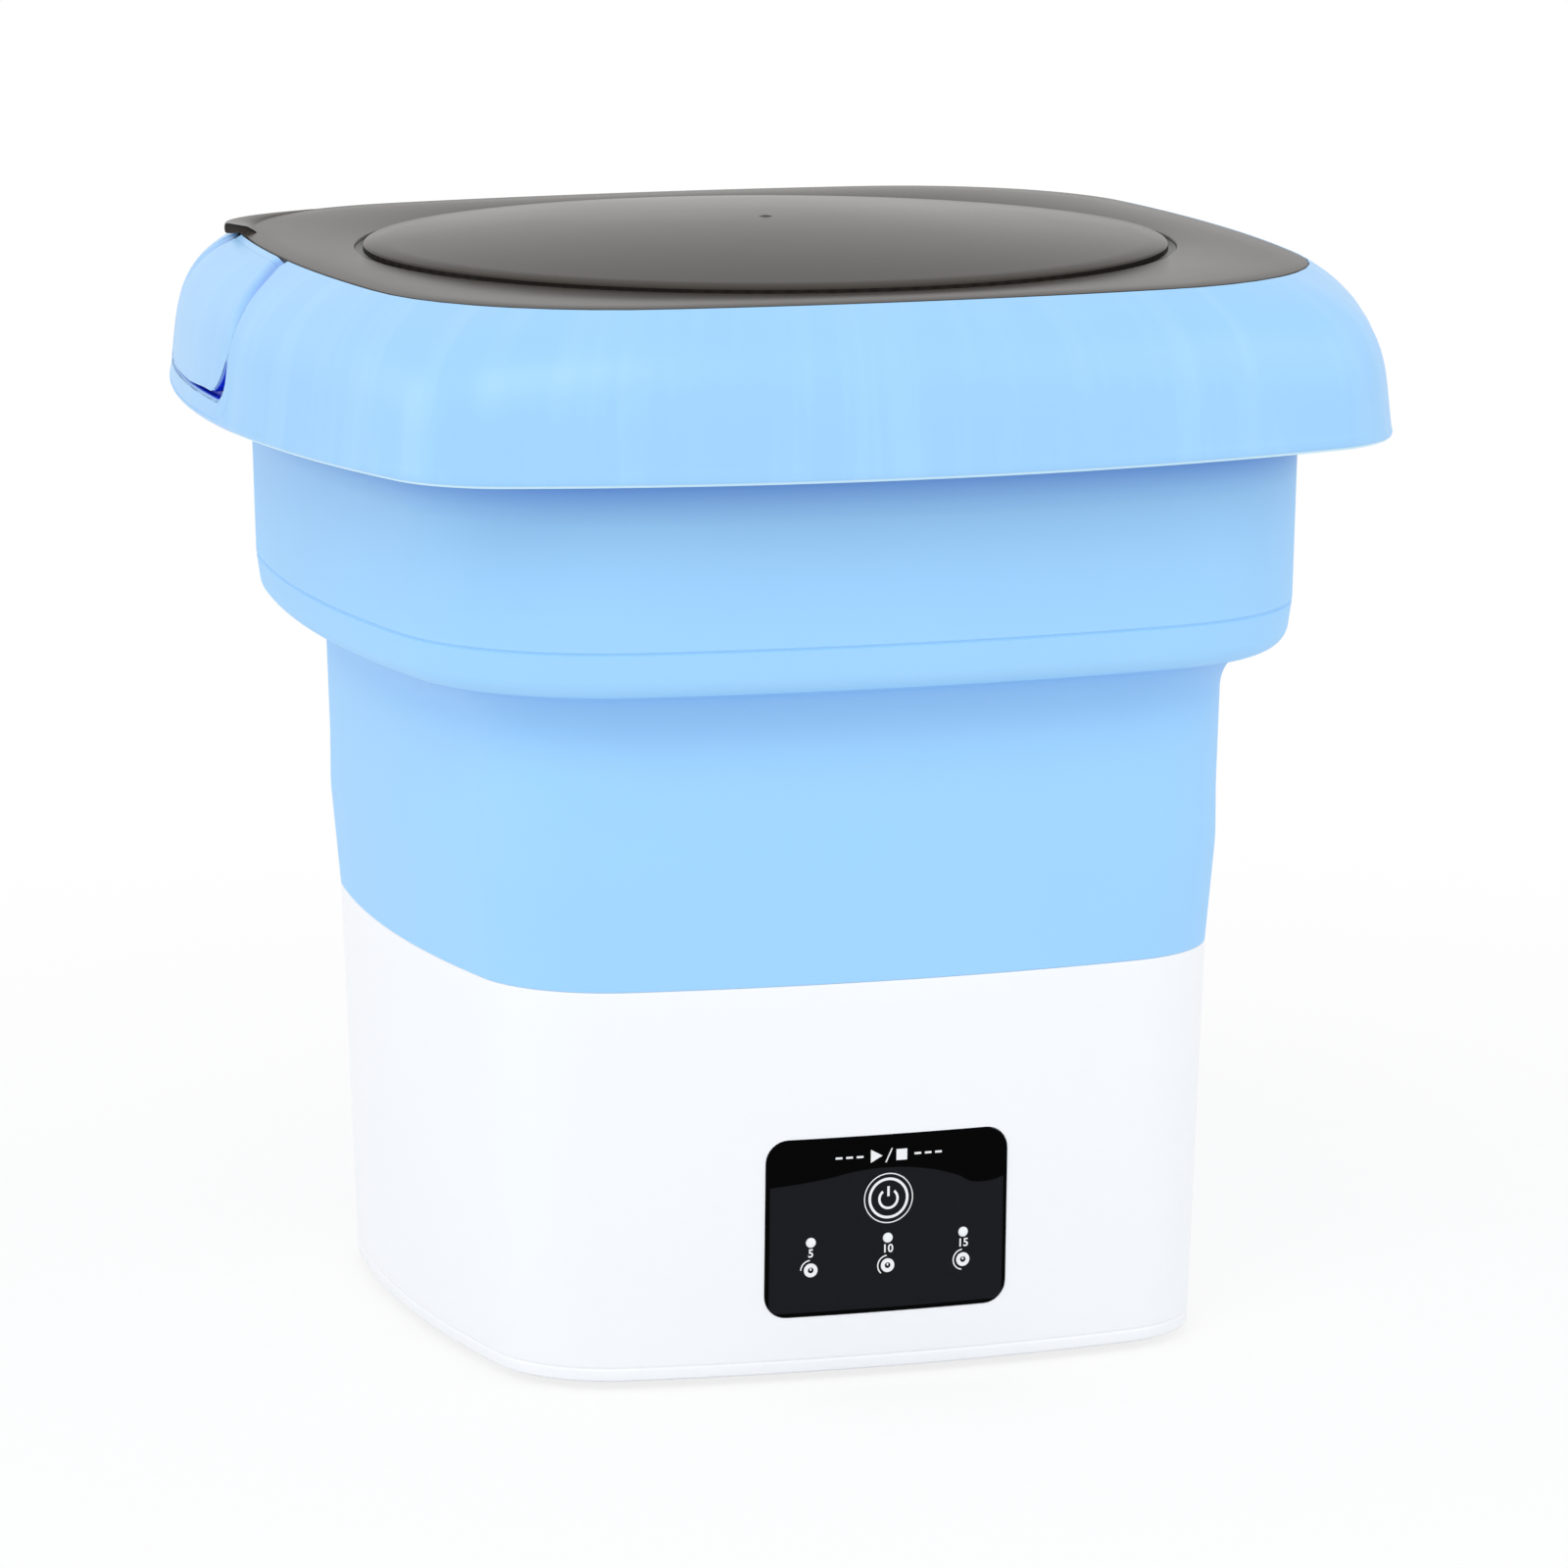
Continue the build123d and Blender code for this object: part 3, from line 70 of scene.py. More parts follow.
# Base
HOUSING_LOW = 6.0
HOUSING_TOP = 115.2
HOUSING_TAPER = 4.2
BASE_WALL = 2.6
COVER_LOW = 2.75
COVER_INSET = 0.95
SEAM_UP = HOUSING_LOW + 0.4
SEAM_HALF = 0.6

# Control panel
PANEL_HALF = (35.95, 25.55)
PANEL_UP = 44.7
PANEL_HIGH = PANEL_UP + PANEL_HALF[1]
PANEL_CORNER = 6.3
PANEL_PROUD = 0.4
PANEL_WALL = 1.9
RECESS_GAP = 0.3
RECESS_DEEP = 1.6
CUTTER_OUT = 3.0
CUTTER_DEEP = 4.0
BUTTON_UP = 52.2
BUTTON_HOLE = 7.62
LAMPS_UP = 40.6
LAMP_SPREAD = 22.7
LAMP_HOLE = 1.55
DIALS_UP = 32.6
MARK_SUNK = 0.04

# Soft wall
WALL_LOW = 115.25
WALL_THICK = 2.4
COLLAR_TOP = 284.0
TONGUE_LOW = 104.0

# Rim
SKIRT_LOW = 264.0
SKIRT_DRAFT = 1.6
SKIRT_STRAIGHT = 15.0
SKIRT_STEPS = 28
SHOULDER = 22.9
SHOULDER_TOP = 310.2
SHOULDER_SWELL = 1.2
RIM_TOP = 308.8
RIM_WALL = 2.6
SEAT_LOW = 305.8
NECK_LOW = 268.0
NECK_IN, NECK_OUT = 12.4, 15.0

# Flap: its middle on the rim's face, the way out of the face and the way to the front
FLAP_AT = Vector((-162.041, 45.0, 0.0))
FLAP_OUT = Vector((-0.994046, 0.108959, 0.0))
FLAP_FRONT = Vector((-0.108959, -0.994046, 0.0))
FLAP_HALF = 50.0
FLAP_TOP_HALF = 33.0
FLAP_BOTTOM = 273.2
FLAP_SHOULDER = 286.2
FLAP_CORNER = 6.0
FLAP_TOP = 309.08
FLAP_TUCK = ((0.05, 0.6), (2.4, 0.9))
OPENING_TOP = 309.1
OPENING_SIDE = 0.8
OPENING_LOW = 1.3
FRAME_STEPS = (0.0, 0.5, 1.2, 2.4, 4.0, 6.0)
UNDERCUT = 3.6
SHADE_SHEET_LOW = 266.5
SHADE_SHEET_FRONT = 59.0
POCKET_LOW, POCKET_TOP = 286.6, 303.5
POCKET_HALF = 66.0
HINGE_IN = 15.5
HINGE_UP = 293.0
UPWARD = Vector((0, 0, 1))

# Lid
LID_TOP = 310.4
LID_GAP = 0.6
DOME_EDGE = 116.1
DOME_RISE = 8.0
DOME_WALL = 1.6
GROOVE_MIDDLE = 117.2
TAB_TALL = 2.9
TAB_BACK = 5.0

# Stage, in metres
CAMERA_AT = (-0.8054, -2.4721, 0.6125)
CAMERA_AIM = (0.30694, 0.93562, -0.1744)
CAMERA_LENS = 207.8
CAMERA_SENSOR = 36.0

# Finishes: colour or the name of its property, gloss, spread of gloss, drift of colour,
# grains in a metre, bump, and plain shader values
FINISHES = {
    "white_gloss_plastic": ("base", 0.32, 0.06, 0.015, 1400.0, 0.03, {}),
    "soft_blue_rubber": ("wall", 0.52, 0.08, 0.05, 1100.0, 0.10, {}),
    "blue_hard_plastic": ("rim", 0.36, 0.08, 0.03, 1300.0, 0.04, {}),
    "smoked_plastic": ("lid", 0.2, 0.06, 0.06, 1800.0, 0.02, {"IOR": 1.082}),
    "black_acrylic": (
        "panel", 0.14, 0.03, 0.1, 2200.0, 0.01, {"Specular IOR Level": 0.02, "Coat Roughness": 0.06}
    ),
    "printed_white": ("marks", 0.45, 0.05, 0.02, 2500.0, 0.02, {}),
    "milky_lamp": ((0.88, 0.9, 0.92), 0.25, 0.05, 0.02, 2500.0, 0.01, {}),
    "inner_white_plastic": ((0.84, 0.86, 0.88), 0.34, 0.08, 0.03, 1300.0, 0.04, {}),
    "cover_white_plastic": ((0.82, 0.84, 0.87), 0.5, 0.08, 0.03, 900.0, 0.1, {}),
    "cream_plastic": ((0.74, 0.71, 0.63), 0.48, 0.08, 0.04, 1200.0, 0.06, {}),
    "white_nylon": ((0.8, 0.8, 0.76), 0.5, 0.08, 0.03, 1400.0, 0.05, {}),
    "plain_black_plastic": ((0.02, 0.02, 0.022), 0.45, 0.08, 0.1, 1500.0, 0.06, {}),
    "grey_rubber": ((0.36, 0.38, 0.41), 0.6, 0.1, 0.08, 1200.0, 0.12, {}),
    "black_rubber": ((0.018, 0.018, 0.02), 0.6, 0.1, 0.1, 1400.0, 0.1, {}),
    "dark_ferrite": ((0.07, 0.07, 0.075), 0.7, 0.1, 0.15, 1600.0, 0.15, {}),
    "board_green": ((0.02, 0.16, 0.06), 0.35, 0.1, 0.15, 700.0, 0.05, {}),
    "bright_steel": ((0.6, 0.61, 0.63), 0.3, 0.12, 0.06, 2600.0, 0.08, {"Metallic": 1.0}),
    "plated_motor_steel": ((0.5, 0.51, 0.53), 0.38, 0.14, 0.08, 1800.0, 0.08, {"Metallic": 1.0}),
    "sintered_bronze": ((0.62, 0.42, 0.2), 0.42, 0.12, 0.1, 2200.0, 0.12, {"Metallic": 1.0}),
}


def outline(half, side_radius, corner_radius):
    """Places and outward directions round a square with bowed sides and round corners."""
    depth = side_radius - half
    reach = side_radius - corner_radius
    centre = (math.sqrt(2 * reach**2 - depth**2) - depth) / 2
    lean = math.atan2(centre, centre + depth)
    quarter = []
    for step in range(SIDE_STEPS):
        turn = lean * (2 * step / SIDE_STEPS - 1)
        quarter.append((side_radius * math.sin(turn), depth - side_radius * math.cos(turn), turn))
    for step in range(CORNER_STEPS):
        turn = lean + (math.pi / 2 - 2 * lean) * step / CORNER_STEPS
        across, deep = corner_radius * math.sin(turn), corner_radius * math.cos(turn)
        quarter.append((centre + across, -centre - deep, turn))
    places = []
    for side in range(4):
        swing = side * math.pi / 2
        c, s = math.cos(swing), math.sin(swing)
        for x, y, turn in quarter:
            away = turn + swing
            places.append((x * c - y * s, x * s + y * c, math.sin(away), -math.cos(away)))
    return places


BASE_LINE = outline(*BASE)
RIM_LINE = outline(*RIM)
LID_LINE = outline(*LID)


def ring(line, offset, up):
    """One ring of places at a height, a distance outside an outline."""
    return [Vector((x + nx * offset, y + ny * offset, up)) * MM for x, y, nx, ny in line]


def circle(line, radius, up):
    """A round ring whose places have the same bearings as an outline's."""
    return [
        Vector((x / math.hypot(x, y) * radius, y / math.hypot(x, y) * radius, up)) * MM
        for x, y, _, _ in line
    ]


def arc_from(start, heading, end, steps=8):
    """Places on the arc that leaves start along a heading and meets end."""
    start, end = Vector(start), Vector(end)
    left = Vector((-heading[1], heading[0])).normalized()
    chord = end - start
    radius = chord.length_squared / (2 * chord.dot(left))
    centre = start + left * radius
    first = math.atan2(start.y - centre.y, start.x - centre.x)
    last = math.atan2(end.y - centre.y, end.x - centre.x)
    sweep = (last - first) % math.tau if radius > 0 else -((first - last) % math.tau)
    turns = [first + sweep * step / steps for step in range(1, steps + 1)]
    size = abs(radius)
    return [(centre.x + size * math.cos(turn), centre.y + size * math.sin(turn)) for turn in turns]


def eased(corners, steps=5):
    """A path through corners given as across, up and radius, each corner rounded off."""
    path = []
    for index, (across, up, radius) in enumerate(corners):
        here = Vector((across, up))
        if not radius or index in (0, len(corners) - 1):
            path.append((across, up))
            continue
        back = (Vector(corners[index - 1][:2]) - here).normalized()
        ahead = (Vector(corners[index + 1][:2]) - here).normalized()
        half = math.acos(max(-1.0, min(1.0, back.dot(ahead)))) / 2
        start = here + back * (radius / math.tan(half))
        path.append(tuple(start))
        path.extend(arc_from(start, -back, here + ahead * (radius / math.tan(half)), steps))
    return path


def finer(path, longest):
    """The same path with places added so no step is longer than given."""
    result = [path[0]]
    for start, end in zip(path, path[1:]):
        parts = max(1, math.ceil(math.dist(start, end) / longest))
        for part in range(1, parts + 1):
            share = part / parts
            result.append(tuple(a + (b - a) * share for a, b in zip(start, end)))
    return result


def inward(path, wall):
    """The path a wall's thickness to the left of a path that runs upwards."""
    result = []
    for index, here in enumerate(path):
        before = Vector(path[max(0, index - 1)])
        after = Vector(path[min(len(path) - 1, index + 1)])
        along = (after - before).normalized()
        result.append((here[0] - along.y * wall, here[1] + along.x * wall))
    return result


def crowded(across, power):
    """A share from -1 to 1, with its steps crowded towards both ends."""
    share = 2 * across - 1
    return math.copysign(1 - (1 - abs(share)) ** power, share)


def deselect():
    """Leave nothing selected."""
    if bpy.context.mode != "OBJECT":
        bpy.ops.object.mode_set(mode="OBJECT")
    bpy.ops.object.select_all(action="DESELECT")


def pick(piece):
    """Select one piece and make it active."""
    deselect()
    piece.select_set(True)
    bpy.context.view_layer.objects.active = piece


def edit_all(piece):
    """Start editing a piece with all of it selected."""
    pick(piece)
    bpy.ops.object.mode_set(mode="EDIT")
    bpy.ops.mesh.select_all(action="SELECT")


def put(piece, first, spots):
    """Move a run of the mesh being edited to the places given."""
    mesh = bmesh.from_edit_mesh(piece.data)
    mesh.verts.ensure_lookup_table()
    for index, spot in enumerate(spots, first):
        mesh.verts[index].co = spot
    bmesh.update_edit_mesh(piece.data)


def tidy(piece, angle=35.0):
    """Merge doubles, turn faces outwards and shade smooth up to an angle."""
    edit_all(piece)
    bpy.ops.mesh.remove_doubles(threshold=2e-6)
    bpy.ops.mesh.normals_make_consistent(inside=False)
    bpy.ops.object.mode_set(mode="OBJECT")
    bpy.ops.object.shade_smooth_by_angle(angle=math.radians(angle))
    return piece


def skin(name, rings, angle=35.0):
    """A skin drawn out from one ring of edges through all the rings given."""
    deselect()
    count = len(rings[0])
    bpy.ops.mesh.primitive_circle_add(vertices=count, radius=0.1, fill_type="NOTHING")
    piece = named(bpy.context.object, name)
    edit_all(piece)
    put(piece, 0, rings[0])
    for step, row in enumerate(rings[1:], 1):
        bpy.ops.mesh.extrude_region_move()
        put(piece, step * count, row)
    return tidy(piece, angle)


def solid(name, rings):
    """A skin whose first and last rings are closed."""
    piece = skin(name, rings)
    edit_all(piece)
    bpy.ops.mesh.fill_holes(sides=0)
    bpy.ops.mesh.normals_make_consistent(inside=False)
    bpy.ops.object.mode_set(mode="OBJECT")
    return piece


def sheet(name, columns, rows, where):
    """A grid whose places come from two shares that run from 0 to 1."""
    deselect()
    bpy.ops.mesh.primitive_grid_add(x_subdivisions=columns, y_subdivisions=rows, size=1)
    piece = named(bpy.context.object, name)
    bpy.ops.object.mode_set(mode="EDIT")
    mesh = bmesh.from_edit_mesh(piece.data)
    for corner in mesh.verts:
        column = round((corner.co.x + 0.5) * columns)
        row = round((corner.co.y + 0.5) * rows)
        corner.co = where(column / columns, row / rows)
    bmesh.update_edit_mesh(piece.data)
    bpy.ops.object.mode_set(mode="OBJECT")
    return piece


def named(piece, name):
    """Give an object and its data one name."""
    piece.name = piece.data.name = name
    return piece


def apply(piece, kind, **settings):
    """Add a modifier to a piece, set it and apply it."""
    pick(piece)
    modifier = piece.modifiers.new(kind.lower(), kind)
    for name, value in settings.items():
        setattr(modifier, name, value)
    bpy.ops.object.modifier_apply(modifier=modifier.name)


def cut(piece, cutter):
    """Take a cutter's shape out of a piece and remove the cutter."""
    apply(piece, "BOOLEAN", operation="DIFFERENCE", solver="EXACT", object=cutter)
    bpy.data.objects.remove(cutter)


def join(piece, *others):
    """Make several meshes one piece."""
    pick(piece)
    for other in others:
        other.select_set(True)
    bpy.ops.object.join()
    return piece


def face_out(piece, direction):
    """Turn an open sheet so its faces look along a direction."""
    total = sum((face.normal * face.area for face in piece.data.polygons), Vector())
    if total.dot(direction) < 0:
        edit_all(piece)
        bpy.ops.mesh.flip_normals()
        bpy.ops.object.mode_set(mode="OBJECT")
    return piece


def plate(piece, wall, soft=0.0, chosen=None):
    """Give a sheet its thickness and round the edges of its outer face."""
    edit_all(piece)
    bpy.ops.mesh.remove_doubles(threshold=2e-6)
    bpy.ops.object.mode_set(mode="OBJECT")
    count = len(piece.data.vertices)
    apply(piece, "SOLIDIFY", thickness=wall * MM, offset=-1, use_even_offset=True)
    if soft:
        bpy.ops.object.mode_set(mode="EDIT")
        bpy.ops.mesh.select_mode(type="EDGE")
        bpy.ops.mesh.select_all(action="DESELECT")
        mesh = bmesh.from_edit_mesh(piece.data)
        for edge in mesh.edges:
            outer = max(corner.index for corner in edge.verts) < count
            sharp = len(edge.link_faces) == 2 and edge.calc_face_angle(0) > 0.7
            edge.select_set(outer and sharp and (chosen is None or chosen(edge)))
        bmesh.update_edit_mesh(piece.data)
        bpy.ops.mesh.bevel(offset=soft * MM, segments=3, affect="EDGES")
        bpy.ops.object.mode_set(mode="OBJECT")
    return tidy(piece)


def seat(piece, body, slot, material, *nodes):
    """Put a piece on its body, give it its finish, and let it stand for CAD nodes; the slot
    argument is not used.
    """
    if not piece.data.polygons:
        raise RuntimeError(f"{piece.name} has no faces")
    piece.data.materials.clear()
    piece.data.materials.append(material)
    if body:
        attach(piece, body)
    if nodes:
        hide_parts(*nodes)
    deselect()


def paint(material, *nodes):
    """Give CAD nodes a finish."""
    for name in nodes:
        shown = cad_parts[name]
        shown.data.materials.clear()
        shown.data.materials.append(material)


def fill(tree, node, sockets):
    """Set a node's sockets to plain values, or link other sockets into them."""
    for key, value in sockets.items():
        if isinstance(value, bpy.types.NodeSocket):
            tree.links.new(value, node.inputs[key])
        else:
            node.inputs[key].default_value = value


def new_node(tree, kind, sockets=None, **settings):
    """Add a node, set what it needs and fill its sockets."""
    made = tree.nodes.new(kind)
    for name, value in settings.items():
        setattr(made, name, value)
    fill(tree, made, sockets or {})
    return made


def maths(tree, operation, first, second=0.0):
    """Add a Math node on two values or sockets and return its result."""
    return new_node(tree, "ShaderNodeMath", {0: first, 1: second}, operation=operation).outputs[0]


def object_place(tree):
    """The socket of a place in the object."""
    return new_node(tree, "ShaderNodeTexCoord").outputs["Object"]


def split_place(tree):
    """The sockets X, Y and Z of a place in the object."""
    return new_node(tree, "ShaderNodeSeparateXYZ", {0: object_place(tree)}).outputs


def ramp(tree, value, start, end):
    """A smooth step from 0 at start to 1 at end."""
    sockets = {"Value": value, "From Min": start, "From Max": end}
    made = new_node(tree, "ShaderNodeMapRange", sockets, interpolation_type="SMOOTHSTEP")
    return made.outputs[0]


def opaque(colour):
    """A colour with full alpha."""
    return (*colour, 1.0)


def mix_colour(tree, factor, first, second):
    """Mix two colours or colour sockets and return the result."""
    sockets = {0: factor, 6: first, 7: second}
    return new_node(tree, "ShaderNodeMix", sockets, data_type="RGBA").outputs[2]


def new_group(name, inputs, outputs):
    """Start a shader group with named sockets, and return it with those it is given."""
    tree = bpy.data.node_groups.new(name, "ShaderNodeTree")
    for label, kind, value in inputs:
        tree.interface.new_socket(label, in_out="INPUT", socket_type=kind).default_value = value
    for label, kind in outputs:
        tree.interface.new_socket(label, in_out="OUTPUT", socket_type=kind)
    return tree, new_node(tree, "NodeGroupInput").outputs


def moulded_group():
    """Fine grain, slow colour drift and uneven gloss of a moulded surface."""
    name = "moulded_surface"
    if name in bpy.data.node_groups:
        return bpy.data.node_groups[name]
    tree, given = new_group(
        name,
        [
            ("Colour", "NodeSocketColor", (0.8, 0.8, 0.8, 1)),
            ("Drift", "NodeSocketFloat", 0.04),
            ("Gloss", "NodeSocketFloat", 0.4),
            ("Gloss Spread", "NodeSocketFloat", 0.08),
            ("Grain Scale", "NodeSocketFloat", 900.0),
        ],
        [
            ("Colour", "NodeSocketColor"),
            ("Roughness", "NodeSocketFloat"),
            ("Height", "NodeSocketFloat"),
        ],
    )
    place = object_place(tree)
    slow = new_node(tree, "ShaderNodeTexNoise", {"Vector": place, "Scale": 14.0, "Detail": 3.0})
    fine = {"Vector": place, "Scale": given["Grain Scale"], "Detail": 2.0}
    grain = new_node(tree, "ShaderNodeTexNoise", fine).outputs[0]
    centred = maths(tree, "SUBTRACT", slow.outputs[0], 0.5)
    shade = maths(tree, "ADD", maths(tree, "MULTIPLY", centred, given["Drift"]), 1.0)
    tinted = {0: given["Colour"], "Scale": shade}
    tint = new_node(tree, "ShaderNodeVectorMath", tinted, operation="SCALE")
    uneven = maths(tree, "MULTIPLY", centred, given["Gloss Spread"])
    gloss = maths(tree, "ADD", given["Gloss"], uneven)
    speckle = maths(tree, "MULTIPLY", maths(tree, "SUBTRACT", grain, 0.5), 0.05)
    roughness = maths(tree, "ADD", gloss, speckle)
    result = {"Colour": tint.outputs[0], "Roughness": roughness, "Height": grain}
    new_node(tree, "NodeGroupOutput", result)
    return tree


def reflection_band_group():
    """Faint paler upright bands that run round a moulded skirt: painted reflection."""
    name = "upright_bands"
    if name in bpy.data.node_groups:
        return bpy.data.node_groups[name]
    tree, given = new_group(
        name,
        [
            ("Colour", "NodeSocketColor", (0.5, 0.5, 0.5, 1)),
            ("Pale", "NodeSocketColor", (0.7, 0.7, 0.7, 1)),
            ("Amount", "NodeSocketFloat", 0.2),
            ("Bands", "NodeSocketFloat", 24.0),
        ],
        [("Colour", "NodeSocketColor")],
    )
    place = split_place(tree)
    bearing = maths(tree, "ARCTAN2", place["Y"], place["X"])
    across = maths(tree, "MULTIPLY", bearing, given["Bands"])
    along = maths(tree, "MULTIPLY", place["Z"], 9.0)
    joined = new_node(tree, "ShaderNodeCombineXYZ", {"X": across, "Y": along}).outputs[0]
    bands = new_node(tree, "ShaderNodeTexNoise", {"Vector": joined, "Scale": 1.0, "Detail": 2.5})
    mask = maths(tree, "MULTIPLY", ramp(tree, bands.outputs[0], 0.42, 0.72), given["Amount"])
    shade = mix_colour(tree, mask, given["Colour"], given["Pale"])
    new_node(tree, "NodeGroupOutput", {"Colour": shade})
    return tree


def finish(name):
    """The material of a moulded, cast or drawn surface, made once from its row of values."""
    if name in bpy.data.materials:
        return bpy.data.materials[name]
    colour, gloss, spread, drift, grain, bump, shader = FINISHES[name]
    if isinstance(colour, str):
        colour = getattr(bpy.context.scene.washer_colours, colour)
    material = bpy.data.materials.new(name)
    material.use_nodes = True
    tree = material.node_tree
    values = {"Colour": opaque(colour), "Drift": drift, "Gloss": gloss}
    values.update({"Gloss Spread": spread, "Grain Scale": grain})
    group = moulded_group()
    made = new_node(tree, "ShaderNodeGroup", values, node_tree=group, name="surface").outputs
    uneven = {"Strength": bump, "Distance": 0.0002, "Height": made["Height"]}
    height = new_node(tree, "ShaderNodeBump", uneven)
    sockets = {"Base Color": made["Colour"], "Roughness": made["Roughness"]}
    fill(tree, tree.nodes["Principled BSDF"], {**sockets, "Normal": height.outputs[0], **shader})
    return material


def recolour(material, shade):
    """Lead a colour socket into a finish in place of its plain colour."""
    tree = material.node_tree
    fill(tree, tree.nodes["surface"], {"Colour": shade})
    return material


class WasherSizes(bpy.types.PropertyGroup):
    """Small sizes of the washer's looks"""

    lip_round: FloatProperty(
        name="Lip round", description="Radius on the lower lip of the skirt",
        default=0.0019, unit="LENGTH",
    )
    edge_soft: FloatProperty(
        name="Flap edge", description="Rounding along the flap and its opening",
        default=0.0011, unit="LENGTH",
    )
    flap_wedge: FloatProperty(
        name="Flap wedge", description="How far the flap's lower front corner draws back",
        default=0.009, unit="LENGTH",
    )
    crease_depth: FloatProperty(
        name="Crease", description="Depth of the crease above the step in the soft wall",
        default=0.0007, unit="LENGTH",
    )
    dome_step: FloatProperty(
        name="Dome step", description="Height of the dome's upright edge over the lid",
        default=0.0012, unit="LENGTH",
    )
    tab_reach: FloatProperty(
        name="Tab reach", description="How far the lift tab stands out from the lid",
        default=0.005, unit="LENGTH",
    )
    base_foot: FloatProperty(
        name="Base foot", description="Rounding along the bottom of the base",
        default=0.0007, unit="LENGTH",
    )
    seam_depth: FloatProperty(
        name="Base seam", description="Depth of the line where base and cover meet",
        default=0.0003, unit="LENGTH",
    )
    mark_lift: FloatProperty(
        name="Mark height", description="How far the printed marks stand on the panel",
        default=0.00005, unit="LENGTH",
    )
    key_power: FloatProperty(
        name="Key light", description="Power of the main lamp", default=11.0, unit="POWER"
    )
    fill_power: FloatProperty(
        name="Fill light", description="Power of the right lamp", default=5.0, unit="POWER"
    )
    side_power: FloatProperty(
        name="Side light", description="Power of the left lamp", default=3.5, unit="POWER"
    )


class WasherColours(bpy.types.PropertyGroup):
    """Colours of the washer"""

    rim: FloatVectorProperty(
        name="Rim", description="Hard plastic of the rim and flap",
        subtype="COLOR", default=(0.315, 0.6, 0.93),
    )
    # Colour of the paler upright bands on the skirt: painted reflection, not a tone of the plastic.
    rim_reflection_bands: FloatVectorProperty(
        name="Rim bands", description="Paler bands in the rim's plastic",
        subtype="COLOR", default=(0.42, 0.7, 0.95),
    )
    slot: FloatVectorProperty(
        name="Slot", description="Shaded plastic in the slot round the flap",
        subtype="COLOR", default=(0.001, 0.036, 0.72),
    )
    wall: FloatVectorProperty(
        name="Soft wall", description="Rubber of the folding wall",
        subtype="COLOR", default=(0.335, 0.645, 0.985),
    )
    base: FloatVectorProperty(
        name="Base", description="White plastic of the base",
        subtype="COLOR", default=(0.9, 0.92, 0.95),
    )
    lid: FloatVectorProperty(
        name="Lid", description="Smoked plastic of the lid",
        subtype="COLOR", default=(0.055, 0.049, 0.043),
    )
    # Colour of the panel's lower field: the lighter black of a painted reflection.
    panel: FloatVectorProperty(
        name="Panel", description="Lower field of the panel",
        subtype="COLOR", default=(0.006, 0.0065, 0.009),
    )
    marks: FloatVectorProperty(
        name="Marks", description="Printed marks on the panel",
        subtype="COLOR", default=(0.85, 0.86, 0.87),
    )


def wall_out(up):
    """How far the base's outer face stands from its outline at a height."""
    return -HOUSING_TAPER * (HOUSING_TOP - up) / (HOUSING_TOP - HOUSING_LOW)


def on_front(x, up, proud):
    """A place a distance in front of the base's front face."""
    reach = BASE[1] + wall_out(up) + proud
    return Vector((x, BASE[1] - BASE[0] - math.sqrt(reach**2 - x**2), up)) * MM


def panel_sheet(name, grow, proud):
    """A sheet with round corners that follows the base's front face."""
    half, tall = PANEL_HALF[0] + grow, PANEL_HALF[1] + grow
    corner = PANEL_CORNER + grow
    stops = [-half + corner * (1 - math.cos(math.pi / 2 * step / 8)) for step in range(9)]
    inner = half - corner
    stops += [-inner + 2 * inner * step / 24 for step in range(1, 24)]
    stops += [-stop for stop in reversed(stops[:9])]

    def where(across, along):
        x = stops[round(across * (len(stops) - 1))]
        past = max(0.0, abs(x) - inner)
        reach = tall - corner + math.sqrt(max(0.0, corner**2 - past**2))
        return on_front(x, PANEL_UP + reach * (2 * along - 1), proud)

    return sheet(name, len(stops) - 1, 12, where)


def boss(name, x, up, profile, count=48):
    """A round piece on the front face, from radius and height pairs."""
    turns = [math.tau * step / count for step in range(count)]
    rings = []
    for radius, proud in profile:
        spots = [(x + radius * math.cos(turn), up + radius * math.sin(turn)) for turn in turns]
        rings.append([on_front(*spot, proud) for spot in spots])
    return skin(name, rings)


def drill(piece, x, up, radius, count=48):
    """Cut a round hole through a piece on the front face."""
    profile = ((0, CUTTER_OUT), (radius, CUTTER_OUT), (radius, -CUTTER_DEEP), (0, -CUTTER_DEEP))
    cut(piece, boss("drill", x, up, profile, count))


def mark_lift():
    """How far the printed marks stand on the panel, in millimetres."""
    return bpy.context.scene.washer_sizes.mark_lift / MM


def printed(columns, rows, where, proud):
    """A thin printed mark on the front face, from places given across and up."""

    def spot(across, along):
        return on_front(*where(across, along), proud + mark_lift())

    return plate(sheet("mark", columns, rows, spot), mark_lift() + MARK_SUNK)


def band_mark(x, up, inner, outer, proud, start=0, end=360, steps=48):
    """A printed ring or part of one, between two angles in degrees."""

    def where(across, along):
        turn = math.radians(start + (end - start) * across)
        radius = inner + (outer - inner) * along
        return x + radius * math.cos(turn), up + radius * math.sin(turn)

    return printed(steps, 1, where, proud)


def bar_mark(low, high, proud):
    """A printed bar between two corners."""

    def where(across, along):
        return tuple(a + (b - a) * share for a, b, share in zip(low, high, (across, along)))

    return printed(2, 2, where, proud)


def number_mark(words, x, up, tall, proud):
    """A plain printed number."""
    deselect()
    bpy.ops.object.text_add()
    text = bpy.context.object.data
    text.body = words
    text.size = tall * 1.4
    text.align_x = text.align_y = "CENTER"
    text.resolution_u = 3
    text.offset = 0.06
    bpy.ops.object.convert(target="MESH")
    piece = named(bpy.context.object, "mark")
    for corner in piece.data.vertices:
        corner.co = on_front(x + corner.co.x, up + corner.co.y, proud + mark_lift())
    return plate(piece, mark_lift() + MARK_SUNK)


